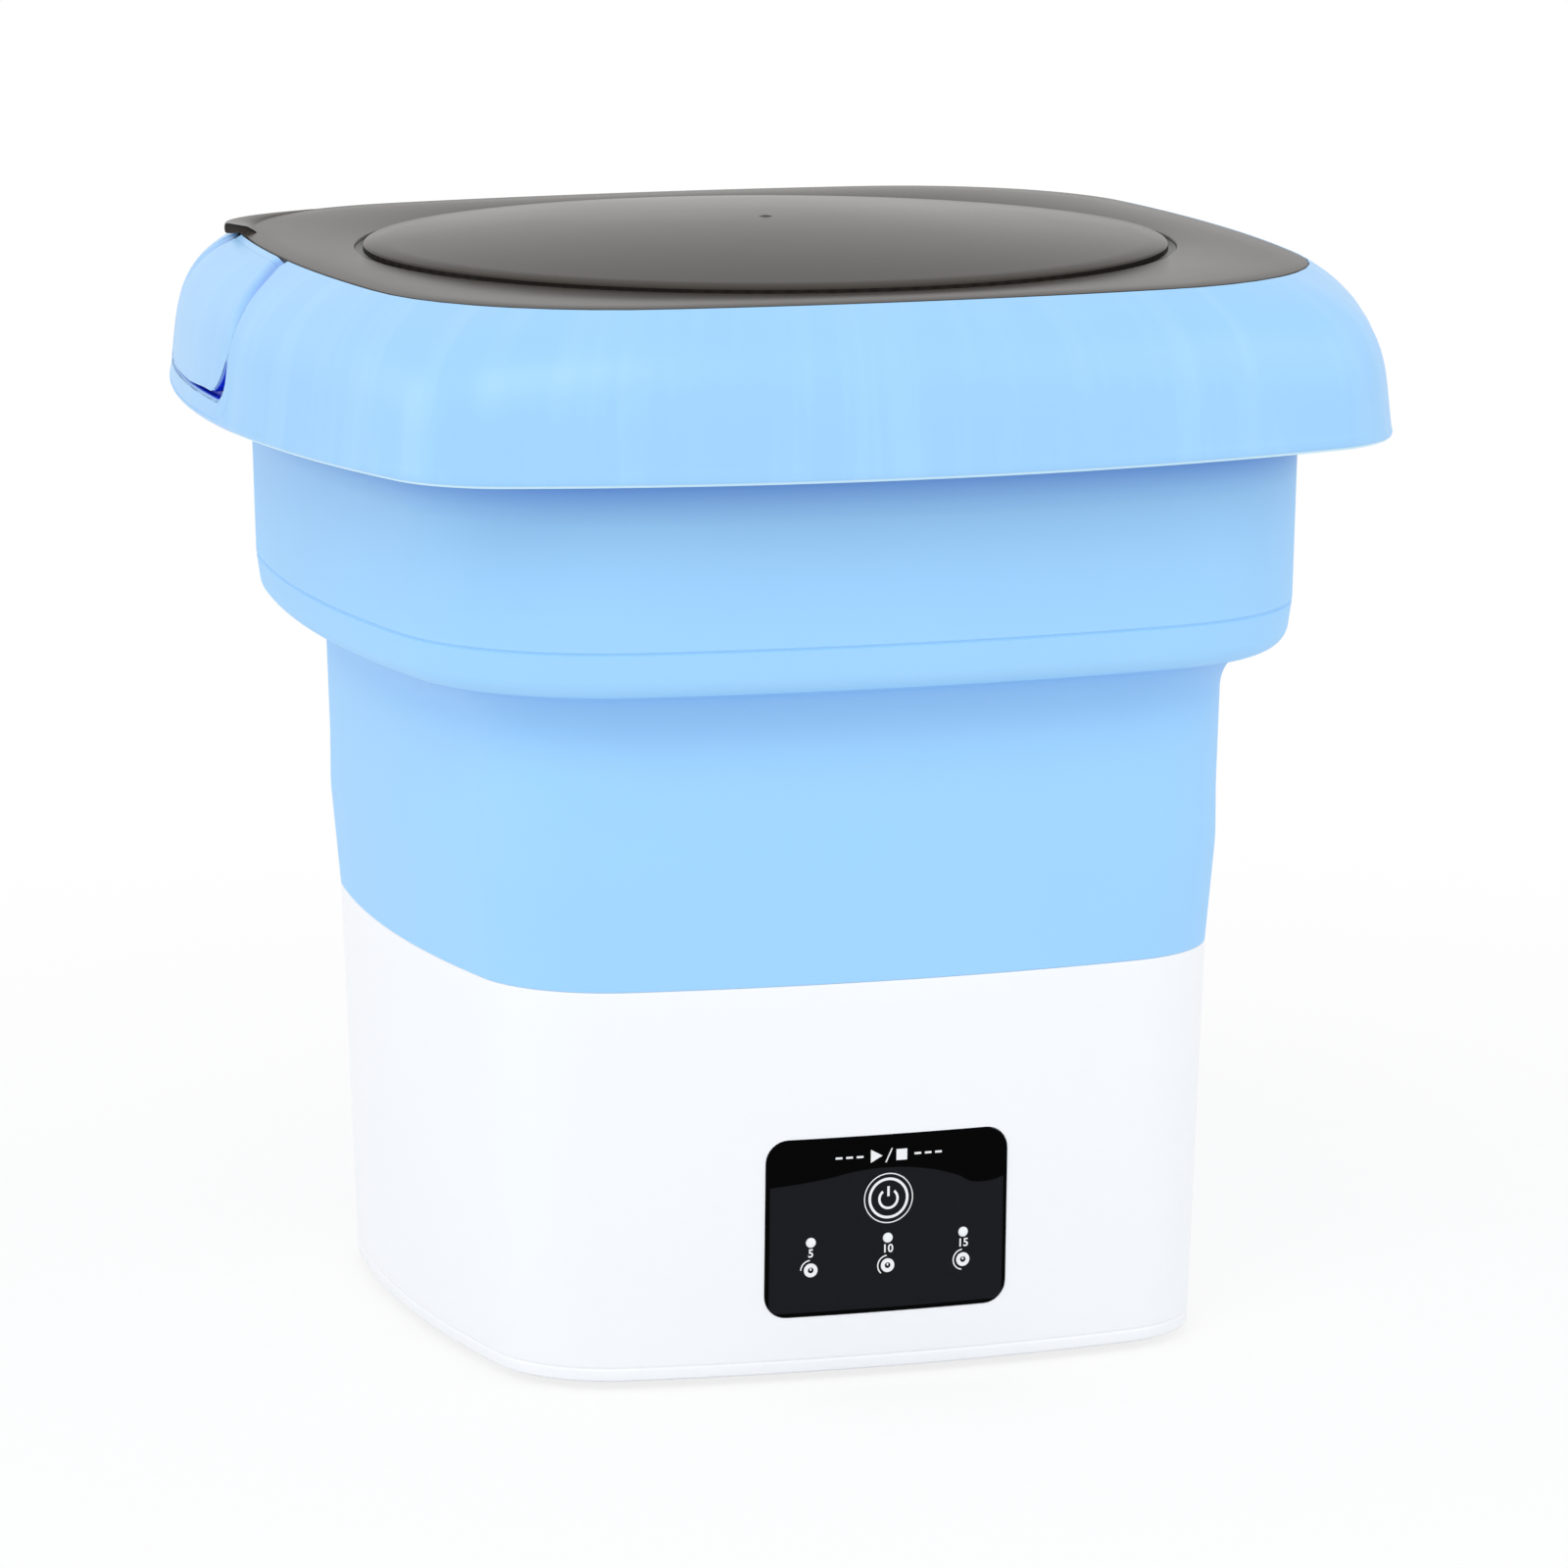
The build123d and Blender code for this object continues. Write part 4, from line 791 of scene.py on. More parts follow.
# The skirt's outer face: a straight lean, then one bend over the shoulder
LEAN = math.atan2(SKIRT_DRAFT, SKIRT_STRAIGHT)
STRAIGHT = math.hypot(SKIRT_DRAFT, SKIRT_STRAIGHT)
RUN = SHOULDER - SKIRT_DRAFT
RISE = SHOULDER_TOP - SKIRT_LOW - SKIRT_STRAIGHT
BEND = (RUN**2 + RISE**2) / (2 * (RUN * math.cos(LEAN) - RISE * math.sin(LEAN)))
BEND_END = math.atan2(BEND * math.sin(LEAN) + RISE, BEND * math.cos(LEAN) - RUN)
SKIRT_LENGTH = STRAIGHT + BEND * (BEND_END - LEAN)
LID_BORDER = [(x + nx * LID_GAP, y + ny * LID_GAP) for x, y, nx, ny in LID_LINE]
LID_EDGE = sorted((math.atan2(y, x), x, y) for x, y in LID_BORDER)


def skirt_path(length):
    """Offset, height and outward direction at a length up the skirt's outer face from its lip."""
    if length <= STRAIGHT:
        share = length / STRAIGHT
        away = (math.cos(LEAN), math.sin(LEAN))
        return -SKIRT_DRAFT * share, SKIRT_LOW + SKIRT_STRAIGHT * share, away
    turn = LEAN + (length - STRAIGHT) / BEND
    round_it = math.pi * (length - STRAIGHT) / (SKIRT_LENGTH - STRAIGHT)
    fuller = BEND + SHOULDER_SWELL * math.sin(round_it) ** 2
    return (
        -SKIRT_DRAFT + fuller * math.cos(turn) - BEND * math.cos(LEAN),
        SKIRT_LOW + SKIRT_STRAIGHT + fuller * math.sin(turn) - BEND * math.sin(LEAN),
        (math.cos(turn), math.sin(turn)),
    )


def skirt_length(up):
    """Length up the skirt's outer face at a height."""
    low, high = 0.0, SKIRT_LENGTH
    for _ in range(40):
        middle = (low + high) / 2
        if skirt_path(middle)[1] < up:
            low = middle
        else:
            high = middle
    return low


def lid_edge(x, y):
    """The place just outside the lid's edge that has the same bearing as a place."""
    bearing = math.atan2(y, x)
    index = bisect.bisect(LID_EDGE, (bearing, 0.0, 0.0)) % len(LID_EDGE)
    first, last = Vector(LID_EDGE[index - 1][1:]), Vector(LID_EDGE[index][1:])
    ray = Vector((math.cos(bearing), math.sin(bearing)))
    side = Vector((-ray.y, ray.x))
    share = first.dot(side) / (first - last).dot(side)
    return first + (last - first) * share


def drawn_in(spot, end, length):
    """A place on the skirt moved so the shoulder's end lies along the lid's edge."""
    share = max(0.0, (length - STRAIGHT) / (SKIRT_LENGTH - STRAIGHT)) ** 2
    edge = lid_edge(end.x, end.y)
    return Vector((spot.x + (edge.x - end.x) * share, spot.y + (edge.y - end.y) * share))


def skirt_ring(length, sunk=0.0):
    """A ring round the skirt at a length up its face, or a distance under that face."""
    offset, up, away = skirt_path(length)
    offset -= away[0] * sunk
    row = []
    for x, y, nx, ny in RIM_LINE:
        end = Vector((x - nx * SHOULDER, y - ny * SHOULDER))
        spot = drawn_in(Vector((x + nx * offset, y + ny * offset)), end, length)
        row.append(Vector((spot.x, spot.y, up - away[1] * sunk)) * MM)
    return row


def on_skirt(along, length, sunk=0.0):
    """A place on the left side's skirt, at a distance along the flap and a length up the face."""
    offset, up, away = skirt_path(length)
    offset -= away[0] * sunk

    def side(out):
        bow = math.sqrt((RIM[1] + out) ** 2 - along**2) - RIM[1]
        return FLAP_AT + FLAP_FRONT * along + FLAP_OUT * bow

    spot = drawn_in(side(offset), side(-SHOULDER), length)
    return Vector((spot.x, spot.y, up - away[1] * sunk)) * MM


def flap_side(up, grow):
    """Half the flap's width at a height above its lower corners, grown by a gap."""
    if up <= FLAP_SHOULDER:
        return FLAP_HALF + grow
    rise = RIM_TOP - FLAP_SHOULDER
    bend = (rise**2 + (FLAP_HALF - FLAP_TOP_HALF) ** 2) / (2 * (FLAP_HALF - FLAP_TOP_HALF))
    return FLAP_HALF + grow - bend + math.sqrt(bend**2 - (up - FLAP_SHOULDER) ** 2)


def flap_edge(grow):
    """Places along the opening's edge: down its front from the lid, along, and up its back."""
    half, bottom = FLAP_HALF + OPENING_SIDE + grow, FLAP_BOTTOM - OPENING_LOW - grow
    corner = FLAP_CORNER + OPENING_LOW + grow
    front = []
    top = SKIRT_LENGTH
    shoulder = skirt_length(FLAP_SHOULDER)
    for step in range(25):
        length = top + (shoulder - top) * step / 24
        front.append((flap_side(min(RIM_TOP, skirt_path(length)[1]), OPENING_SIDE + grow), length))
    low = skirt_length(bottom + corner)
    for step in range(1, 4):
        front.append((half, shoulder + (low - shoulder) * step / 4))
    for step in range(9):
        turn = math.pi / 2 * step / 8
        up = bottom + corner - corner * math.sin(turn)
        front.append((half - corner + corner * math.cos(turn), skirt_length(up)))
    flat = half - corner
    middle = [(flat * (1 - 2 * step / 24), skirt_length(bottom)) for step in range(1, 24)]
    return front + middle + [(-along, length) for along, length in reversed(front)]


def crease(up, away):
    """How far the face sinks to the joint of flap and rim, at a height and a distance from it."""
    high = max(0.0, min(1.0, (up - FLAP_SHOULDER) / (RIM_TOP - FLAP_SHOULDER)))
    return 2.2 * high**1.3 * max(0.0, 1 - away / (2.0 + 5.0 * high)) ** 1.7


def mark_recess(piece):
    """Store how far each place lies back from the skirt's face, for the painted shade in the slot
    and, fainter, along the crease above the flap's shoulders.
    """
    store = piece.data.attributes.new("recess", "FLOAT", "POINT")
    for corner, value in zip(piece.data.vertices, store.data):
        spot = corner.co / MM
        along = (spot - FLAP_AT).dot(FLAP_FRONT)
        if spot.x > -100 or abs(along) > 62 or not SKIRT_LOW < spot.z < SHOULDER_TOP:
            continue
        depth = (on_skirt(along, skirt_length(spot.z)) / MM - spot).dot(FLAP_OUT)
        if spot.z > FLAP_SHOULDER:
            value.value = 0.3 * min(1.0, max(0.0, depth / 2.2))
        elif min(FLAP_HALF - abs(along) - 11.0, spot.z - FLAP_BOTTOM - 4.0) < 0:
            value.value = min(1.0, max(0.0, (depth - 0.35) / 0.6))


def undercut(piece, reach):
    """Slope the sides of the joint behind the face, so the flap can swing past the rim."""
    for corner in piece.data.vertices:
        spot = corner.co / MM
        along = (spot - FLAP_AT).dot(FLAP_FRONT)
        if spot.z > FLAP_SHOULDER - 1 and corner.normal.dot(FLAP_OUT) < 0:
            gap = abs(abs(along) - flap_side(min(spot.z, RIM_TOP), OPENING_SIDE))
            corner.co += FLAP_FRONT * math.copysign(reach * max(0.0, 1 - gap / 6), along) * MM
    return piece


def in_slot(link):
    """Whether an edge lies along the open slot below the flap's shoulders."""
    return max(corner.co.z for corner in link.verts) < (FLAP_SHOULDER - 2.0) * MM


def hinge_tube(name, start, long, radius, bore, count=32):
    """A short tube on the flap's hinge line, from a distance along it."""
    turns = [math.tau * step / count for step in range(count)]
    end = start + long
    rings = []
    for along, size in ((start, bore), (start, radius), (end, radius), (end, bore), (start, bore)):
        middle = FLAP_AT + FLAP_FRONT * along - FLAP_OUT * HINGE_IN + UPWARD * HINGE_UP
        rings.append([
            (middle + (FLAP_OUT * math.cos(turn) + UPWARD * math.sin(turn)) * size) * MM
            for turn in turns
        ])
    return skin(name, rings)


class WASHER_OT_base(bpy.types.Operator):
    """Model the white base with its foot, parting line and panel recess"""

    bl_idname = "washer.base"
    bl_label = "Base"

    def execute(self, context):
        sizes = context.scene.washer_sizes
        foot, seam = sizes.base_foot / MM, sizes.seam_depth / MM
        low = wall_out(HOUSING_LOW)
        corners = [
            (low - BASE_WALL, HOUSING_LOW, 0),
            (low - COVER_INSET, HOUSING_LOW, 0),
            (low - COVER_INSET, COVER_LOW, 0),
            (low - 0.1, COVER_LOW, foot),
            (wall_out(SEAM_UP - SEAM_HALF), SEAM_UP - SEAM_HALF, 0.3),
            (wall_out(SEAM_UP) - seam, SEAM_UP, 0.3),
            (wall_out(SEAM_UP + SEAM_HALF), SEAM_UP + SEAM_HALF, 0.3),
            (0.0, HOUSING_TOP, 0.5),
            (-BASE_WALL, HOUSING_TOP, 0.4),
            (low - BASE_WALL, HOUSING_LOW, 0),
        ]
        path = finer(eased(corners, 4), 9.0)
        piece = skin("base_shell", [ring(BASE_LINE, across, up) for across, up in path])
        cut(piece, plate(panel_sheet("recess", RECESS_GAP, CUTTER_OUT), CUTTER_OUT + RECESS_DEEP))
        tidy(piece)
        seat(piece, "base", "white_gloss", finish("white_gloss_plastic"), "base_housing")
        return {"FINISHED"}


def mark_shade(piece):
    """Store how deep in shade the soft wall lies, under the skirt and under its own step."""
    store = piece.data.attributes.new("shade", "FLOAT", "POINT")
    for corner, value in zip(piece.data.vertices, store.data):
        up = corner.co.z / MM
        value.value = max(0.0, (up - 250.0) / 14.0) ** 1.5
        if up < 201.5:
            value.value = 0.34 * max(0.0, (up - 174.0) / 26.0) ** 2


def wall_blue():
    """The soft wall's rubber, deeper blue where it lies in shade."""
    blue = finish("soft_blue_rubber")
    tree = blue.node_tree
    colour = bpy.context.scene.washer_colours.wall
    deep = opaque(part * share for part, share in zip(colour, (0.3, 0.44, 0.8)))
    shade = new_node(tree, "ShaderNodeAttribute", attribute_name="shade").outputs["Fac"]
    return recolour(blue, mix_colour(tree, shade, opaque(colour), deep))


class WASHER_OT_wall(bpy.types.Operator):
    """Model the soft folding wall as one skin with its step, crease and collar"""

    bl_idname = "washer.wall"
    bl_label = "Soft wall"

    def execute(self, context):
        crease_deep = context.scene.washer_sizes.crease_depth / MM
        neck, ledge_in, ledge_out, bulge = (3.7, 189.0), (9.4, 199.4), (17.2, 201.0), (22.9, 206.6)
        lower = eased([(0.0, WALL_LOW, 0), (2.8, 145.2, 70.0), (2.8, 160.2, 70.0), (*neck, 0)], 8)
        step_up = arc_from(neck, (0.9, 28.8), ledge_in, 12)
        round_out = arc_from(ledge_out, (7.8, 1.6), bulge, 12)
        upper = eased(
            [
                (*bulge, 0),
                (24.0, 213.9, 0.3),
                (24.1 - crease_deep, 214.4, 0.2),
                (24.15, 215.0, 0.3),
                (25.4, SKIRT_LOW, 1.6),
                (17.45, NECK_LOW, 1.0),
                (17.45, COLLAR_TOP, 0),
            ],
            4,
        )
        outer = finer(lower + step_up + [ledge_out] + round_out + upper[1:], 4.5)
        inner = inward(outer, WALL_THICK)
        tongue = [(-5.1, WALL_LOW), (-5.1, TONGUE_LOW), (-2.7, TONGUE_LOW), (-2.7, WALL_LOW)]
        path = outer + inner[::-1][:-1] + tongue + [outer[0]]
        piece = skin("soft_wall", [ring(BASE_LINE, across, up) for across, up in path], 50.0)
        mark_shade(piece)
        seat(piece, None, "blue_soft", wall_blue(), "bellows_lower", "bellows_upper")
        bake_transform(piece)
        return {"FINISHED"}


def rim_blue():
    """The rim's blue plastic with faint upright bands of painted reflection, a painted highlight on
    the lip and painted shade in the slot.
    """
    name = "blue_hard_plastic"
    if name in bpy.data.materials:
        return bpy.data.materials[name]
    colours = bpy.context.scene.washer_colours
    blue = finish(name)
    tree = blue.node_tree
    values = {"Colour": opaque(colours.rim), "Pale": opaque(colours.rim_reflection_bands)}
    values.update({"Amount": 0.25, "Bands": 22.0})
    # Paler upright bands round the skirt: painted reflection.
    bands = new_node(tree, "ShaderNodeGroup", values, node_tree=reflection_band_group())
    # Painted highlight: a pale band along the skirt's lower lip.
    lip = ramp(tree, split_place(tree)["Z"], (SKIRT_LOW + 1.1) * MM, (SKIRT_LOW + 0.5) * MM)
    shade = mix_colour(tree, lip, bands.outputs["Colour"], (0.62, 0.86, 0.96, 1.0))
    # Painted shade: deep blue where the face lies back in the slot, fainter along the crease.
    recess = new_node(tree, "ShaderNodeAttribute", attribute_name="recess").outputs["Fac"]
    return recolour(blue, mix_colour(tree, recess, shade, opaque(colours.slot)))


def rim_shell(soft):
    """The rim's closed wall, from its lip up the skirt, over the lid's seat and round the neck."""
    outer = [skirt_ring(SKIRT_LENGTH * step / SKIRT_STEPS) for step in range(SKIRT_STEPS + 1)]
    lip = [(-RIM_WALL, SKIRT_LOW + 4, 0), (-RIM_WALL, SKIRT_LOW, 0.5), (0, SKIRT_LOW, soft)]
    lip = eased(lip + [(0, SKIRT_LOW + 4, 0)], 6)
    rings = [ring(RIM_LINE, across, up) for across, up in lip[1:-1]] + outer[2:]
    edge = [lid_edge(spot.x, spot.y) for spot in outer[-1]]
    for inset, up in ((0.2, SHOULDER_TOP - 0.1), (0.3, SHOULDER_TOP - 0.4), (0.3, RIM_TOP)):
        rings.append([Vector((*(place * (1 - inset / place.length)), up)) * MM for place in edge])
    neck = [(NECK_IN + 1.0, RIM_TOP), (NECK_IN + 0.3, RIM_TOP - 0.3), (NECK_IN, RIM_TOP - 1.0)]
    neck += [(NECK_IN, RIM_TOP - 20.0), (NECK_IN, NECK_LOW + 0.5), (NECK_IN + 0.5, NECK_LOW)]
    neck += [(NECK_OUT - 0.5, NECK_LOW), (NECK_OUT, NECK_LOW + 0.5)]
    neck += [(NECK_OUT, NECK_LOW + 19.0), (NECK_OUT, SEAT_LOW)]
    rings += [ring(BASE_LINE, across, up) for across, up in neck]
    rings.append(ring(RIM_LINE, -24.0, SEAT_LOW))
    for step in range(SKIRT_STEPS - 3, 1, -1):
        rings.append(skirt_ring(SKIRT_LENGTH * step / SKIRT_STEPS, RIM_WALL))
    return skin("rim_skirt", rings + rings[:1])


def flap_cutter():
    """A solid that takes out the rim's wall where it is made anew round the flap."""
    edge = flap_edge(FRAME_STEPS[-1])
    rings = []
    for out in (-29.0, 8.0):
        spots = [FLAP_FRONT * along + UPWARD * skirt_path(length)[1] for along, length in edge]
        rings.append([(FLAP_AT + FLAP_OUT * out + spot) * MM for spot in spots])
    return solid("flap_cutter", rings)


def flap_frame(soft):
    """The rim's wall round the flap, sunk towards the joint and rounded along the slot."""
    loops = [flap_edge(grow) for grow in FRAME_STEPS]
    count = len(loops[0])

    def spot(step, at):
        along, length = loops[step][at]
        return on_skirt(along, length, crease(skirt_path(length)[1], FRAME_STEPS[step]))

    def where(across, along):
        return spot(round(along * (len(loops) - 1)), round(across * (count - 1)))

    def key(place):
        return tuple(round(part, 7) for part in place)

    first = {key(spot(0, at)) for at in range(count)}

    def at_opening(link):
        return in_slot(link) and all(key(corner.co) in first for corner in link.verts)

    strip = face_out(sheet("flap_frame", count - 1, len(loops) - 1, where), FLAP_OUT)
    return undercut(plate(strip, RIM_WALL, soft, at_opening), UNDERCUT)


def flap_bridge():
    """The thin strip of rim between the flap's top and the lid."""
    start = skirt_length(OPENING_TOP)

    def where(across, along):
        length = start + (SKIRT_LENGTH - start) * along
        up = skirt_path(length)[1]
        half = flap_side(min(up, RIM_TOP), OPENING_SIDE)
        share = crowded(across, 1.8)
        return on_skirt(share * half, length, crease(up, (1 - abs(share)) * half))

    return plate(face_out(sheet("flap_bridge", 80, 4, where), FLAP_OUT), 0.5)


def slot_lining(top, back):
    """A sheet behind the slot, up to a height and back to a distance along the flap, that takes the
    slot's painted shade so the gap reads dark.
    """

    def where(across, along):
        length = skirt_length(SHADE_SHEET_LOW + (top - SHADE_SHEET_LOW) * along)
        return on_skirt(SHADE_SHEET_FRONT + (back - SHADE_SHEET_FRONT) * across, length, RIM_WALL + 0.5)

    return plate(face_out(sheet("slot_lining", 40, 8, where), FLAP_OUT), 0.8)


def flap_pocket():
    """The floor and the ends of the pocket behind the flap."""
    spots = []
    for at, (x, y, *_) in enumerate(RIM_LINE):
        away = FLAP_FRONT.dot(Vector((x, y, 0)) - FLAP_AT)
        if x < -100 and abs(away) < POCKET_HALF:
            spots.append((away, at))
    behind = [at for _, at in sorted(spots)]

    def where(across, along):
        column = round(across * (len(behind) + 1)) - 1
        at = behind[min(max(column, 0), len(behind) - 1)]
        up = POCKET_LOW if 0 <= column < len(behind) else POCKET_TOP
        inner = ring(BASE_LINE, NECK_OUT + 0.1, up)[at]
        return inner.lerp(skirt_ring(skirt_length(up), RIM_WALL + 0.1)[at], along)

    return plate(face_out(sheet("flap_pocket", len(behind) + 1, 2, where), UPWARD), 1.0)


class WASHER_OT_rim(bpy.types.Operator):
    """Model the rim with its skirt, lid seat and neck, and the opening for the flap"""

    bl_idname = "washer.rim"
    bl_label = "Rim"

    def execute(self, context):
        sizes = context.scene.washer_sizes
        piece = rim_shell(sizes.lip_round / MM)
        cut(piece, flap_cutter())
        added = [flap_frame(sizes.edge_soft / MM), flap_bridge(), flap_pocket()]
        # Sheets behind the slot that carry its painted shade, so the gap reads dark.
        added += [slot_lining(291.0, 37.0), slot_lining(281.0, -57.0)]
        added += [hinge_tube("lug", start, 5.5, 4.4, 2.05) for start in (51.6, -57.1)]
        tidy(join(piece, *added))
        mark_recess(piece)
        seat(piece, "rim", "blue_hard", rim_blue(), "rim_frame")
        return {"FINISHED"}


class WASHER_OT_flap(bpy.types.Operator):
    """Model the carry flap with its rounded edge and hinge ears"""

    bl_idname = "washer.flap"
    bl_label = "Carry flap"

    def execute(self, context):
        sizes = context.scene.washer_sizes
        wedge = sizes.flap_wedge / MM
        bends = [1 - math.cos(math.pi / 2 * step / 8) for step in range(9)]
        lengths = [skirt_length(FLAP_BOTTOM + FLAP_CORNER * bend) for bend in bends]
        low, high = lengths[-1], skirt_length(FLAP_TOP)
        lengths += [low + (high - low) * step / 24 for step in range(1, 25)]
        rows = len(lengths) + len(FLAP_TUCK) - 1
        draw_top = FLAP_SHOULDER - 0.5

        def where(across, along):
            row = round(along * rows)
            length = lengths[min(row, len(lengths) - 1)]
            up = skirt_path(length)[1]
            rise = max(0.0, (up - FLAP_SHOULDER) / (RIM_TOP - FLAP_SHOULDER))
            room = 0.5 * max(0.0, math.sin(math.pi * rise))
            half = flap_side(min(up, RIM_TOP), 0.76 - room if rise else 0.6)
            below = max(0.0, FLAP_BOTTOM + FLAP_CORNER - up)
            half -= FLAP_CORNER - math.sqrt(max(0.0, FLAP_CORNER**2 - below**2))
            share = crowded(across, 1.6)
            draw = max(0.0, (draw_top - up) / (draw_top - FLAP_BOTTOM))
            reach = half - wedge * draw**1.3 if share > 0 else half
            shut = min(1.0, max(0.0, (0.75 - share) / 0.6)) * draw**2
            spot = on_skirt(share * reach, length - shut, crease(up, (1 - abs(share)) * reach))
            if row >= len(lengths):
                inside, drop = FLAP_TUCK[row - len(lengths)]
                spot -= (FLAP_OUT * inside + UPWARD * drop) * MM
            return spot

        piece = face_out(sheet("carry_flap", 64, rows, where), FLAP_OUT)
        undercut(plate(piece, RIM_WALL, sizes.edge_soft / MM, in_slot), -UNDERCUT)
        ears = [hinge_tube("ear", start, 6.0, 4.6, 2.03) for start in (38.0, -44.0)]
        tidy(join(piece, *ears))
        mark_recess(piece)
        seat(piece, "handle", "blue_hard", rim_blue(), "carry_handle")
        return {"FINISHED"}


def lid_smoke():
    """The lid's smoked plastic, with painted shade that makes it near black in its groove."""
    smoke = finish("smoked_plastic")
    tree = smoke.node_tree
    place = split_place(tree)
    squares = [maths(tree, "POWER", place[axis], 2.0) for axis in ("X", "Y")]
    away = maths(tree, "POWER", maths(tree, "ADD", *squares), 0.5)
    middle = maths(tree, "ABSOLUTE", maths(tree, "SUBTRACT", away, GROOVE_MIDDLE * MM))
    # Painted shade: a near-black ring over the groove round the dome.
    dark = ramp(tree, middle, 1.3 * MM, 1.0 * MM)
    colour = opaque(bpy.context.scene.washer_colours.lid)
    return recolour(smoke, mix_colour(tree, dark, colour, (0.004, 0.0035, 0.003, 1.0)))


def dome_up(radius, step, sunk=0.0):
    """Height of the dome at a radius, or a distance under its face."""
    rise = DOME_RISE - step
    ball = (DOME_EDGE**2 + rise**2) / (2 * rise)
    return LID_TOP + DOME_RISE - sunk - ball + math.sqrt(ball**2 - radius**2)


def lid_shell(step):
    """The lid's closed wall, from the dome's top out to its edge and back under the dome."""
    under = DOME_WALL + step
    rings = [circle(LID_LINE, 0.0, LID_TOP + DOME_RISE)]
    for share in range(1, 19):
        radius = (DOME_EDGE - 0.8) * share / 18
        rings.append(circle(LID_LINE, radius, dome_up(radius, step)))
    groove = [(115.8, 0.2 - step), (116.1, 0.6 - step), (116.1, 0.5), (116.2, 0.9), (116.6, 1.1)]
    groove += [(118.0, 1.1), (118.4, 0.9), (118.5, 0.5), (118.75, 0.1), (119.3, 0.0)]
    rings += [circle(LID_LINE, radius, LID_TOP - drop) for radius, drop in groove]
    edge = ((-9.0, 0.0), (-0.6, 0.0), (-0.2, 0.08), (0.0, 0.3), (0.0, 1.3), (-0.25, 1.6))
    rings += [ring(LID_LINE, across, LID_TOP - drop) for across, drop in edge]
    skirt = ((11.8, 0.0), (11.8, 7.5), (11.3, 8.0), (10.1, 8.0), (9.6, 7.5), (9.6, 0.0))
    rings += [ring(BASE_LINE, across, RIM_TOP - drop) for across, drop in skirt]
    for share in range(12, 0, -1):
        radius = (DOME_EDGE - 1.0) * share / 12
        rings.append(circle(LID_LINE, radius, dome_up(radius, step, under)))
    rings.append(circle(LID_LINE, 0.0, LID_TOP + DOME_RISE - under))
    return skin("smoked_lid", rings)


def gate_mark(step):
    """The small raised star that the mould's gate leaves on the dome's top."""

    def where(across, along):
        turn = math.tau * across
        reach = 0.8 + 1.3 * max(0.0, math.cos(2.5 * turn)) ** 4 if along else 0.0
        up = dome_up(reach, step) + (0.02 if along else 0.35)
        return Vector((reach * math.cos(turn), reach * math.sin(turn), up)) * MM

    return plate(face_out(sheet("gate_mark", 60, 1, where), UPWARD), 0.6)


def lift_tab(reach):
    """The raised tab along the lid's back left edge, blunt in front and fading to the back."""
    border = [spot for spot in LID_LINE if spot[0] < -60 and 72 < spot[1] < -spot[0] + 30]
    border.sort(key=lambda spot: math.atan2(-spot[1], -spot[0]), reverse=True)

    def across_edge(spot, section, ahead=0.0):
        x, y, nx, ny = spot
        places = [(x + nx * out + ny * ahead, y + ny * out - nx * ahead, up) for out, up in section]
        return [Vector((px, py, LID_TOP + up)) * MM for px, py, up in places]

    rings = []
    for index, spot in enumerate(border):
        fade = 1 - index / (len(border) - 1)
        tall, out, back = TAB_TALL * fade**1.4, reach * fade, TAB_BACK * (0.4 + 0.6 * fade)
        end = min(0.7, fade + 0.05)
        section = [(-back, -0.3), (-1.0, -0.3), (-0.5, -0.05), (out - end, -0.05)]
        section += [(out - 0.2 * end, 0.1 * tall), (out, 0.45 * tall)]
        section += [(out - 0.15 * end, 0.8 * tall), (out - 0.6 * end, 0.97 * tall)]
        section += [(out - 1.6 * end, tall)]
        section += [(-0.35 * back, 0.62 * tall), (-0.75 * back, 0.2 * tall)]
        if index == 0:
            middle = (out / 2, 0.4 * tall)
            for pull, ahead in ((0.55, 0.55), (0.88, 0.3)):
                smaller = [[m + (v - m) * pull for v, m in zip(place, middle)] for place in section]
                rings.append(across_edge(spot, smaller, ahead))
        rings.append(across_edge(spot, section))
    return solid("lift_tab", rings)


class WASHER_OT_lid(bpy.types.Operator):
    """Model the smoked lid with its groove, dome, gate mark and lift tab"""

    bl_idname = "washer.lid"
    bl_label = "Lid"

    def execute(self, context):
        sizes = context.scene.washer_sizes
        step = sizes.dome_step / MM
        piece = lid_shell(step)
        tidy(join(piece, gate_mark(step), lift_tab(sizes.tab_reach / MM)), 30.0)
        seat(piece, "lid", "smoke_lid", lid_smoke(), "lid")
        return {"FINISHED"}


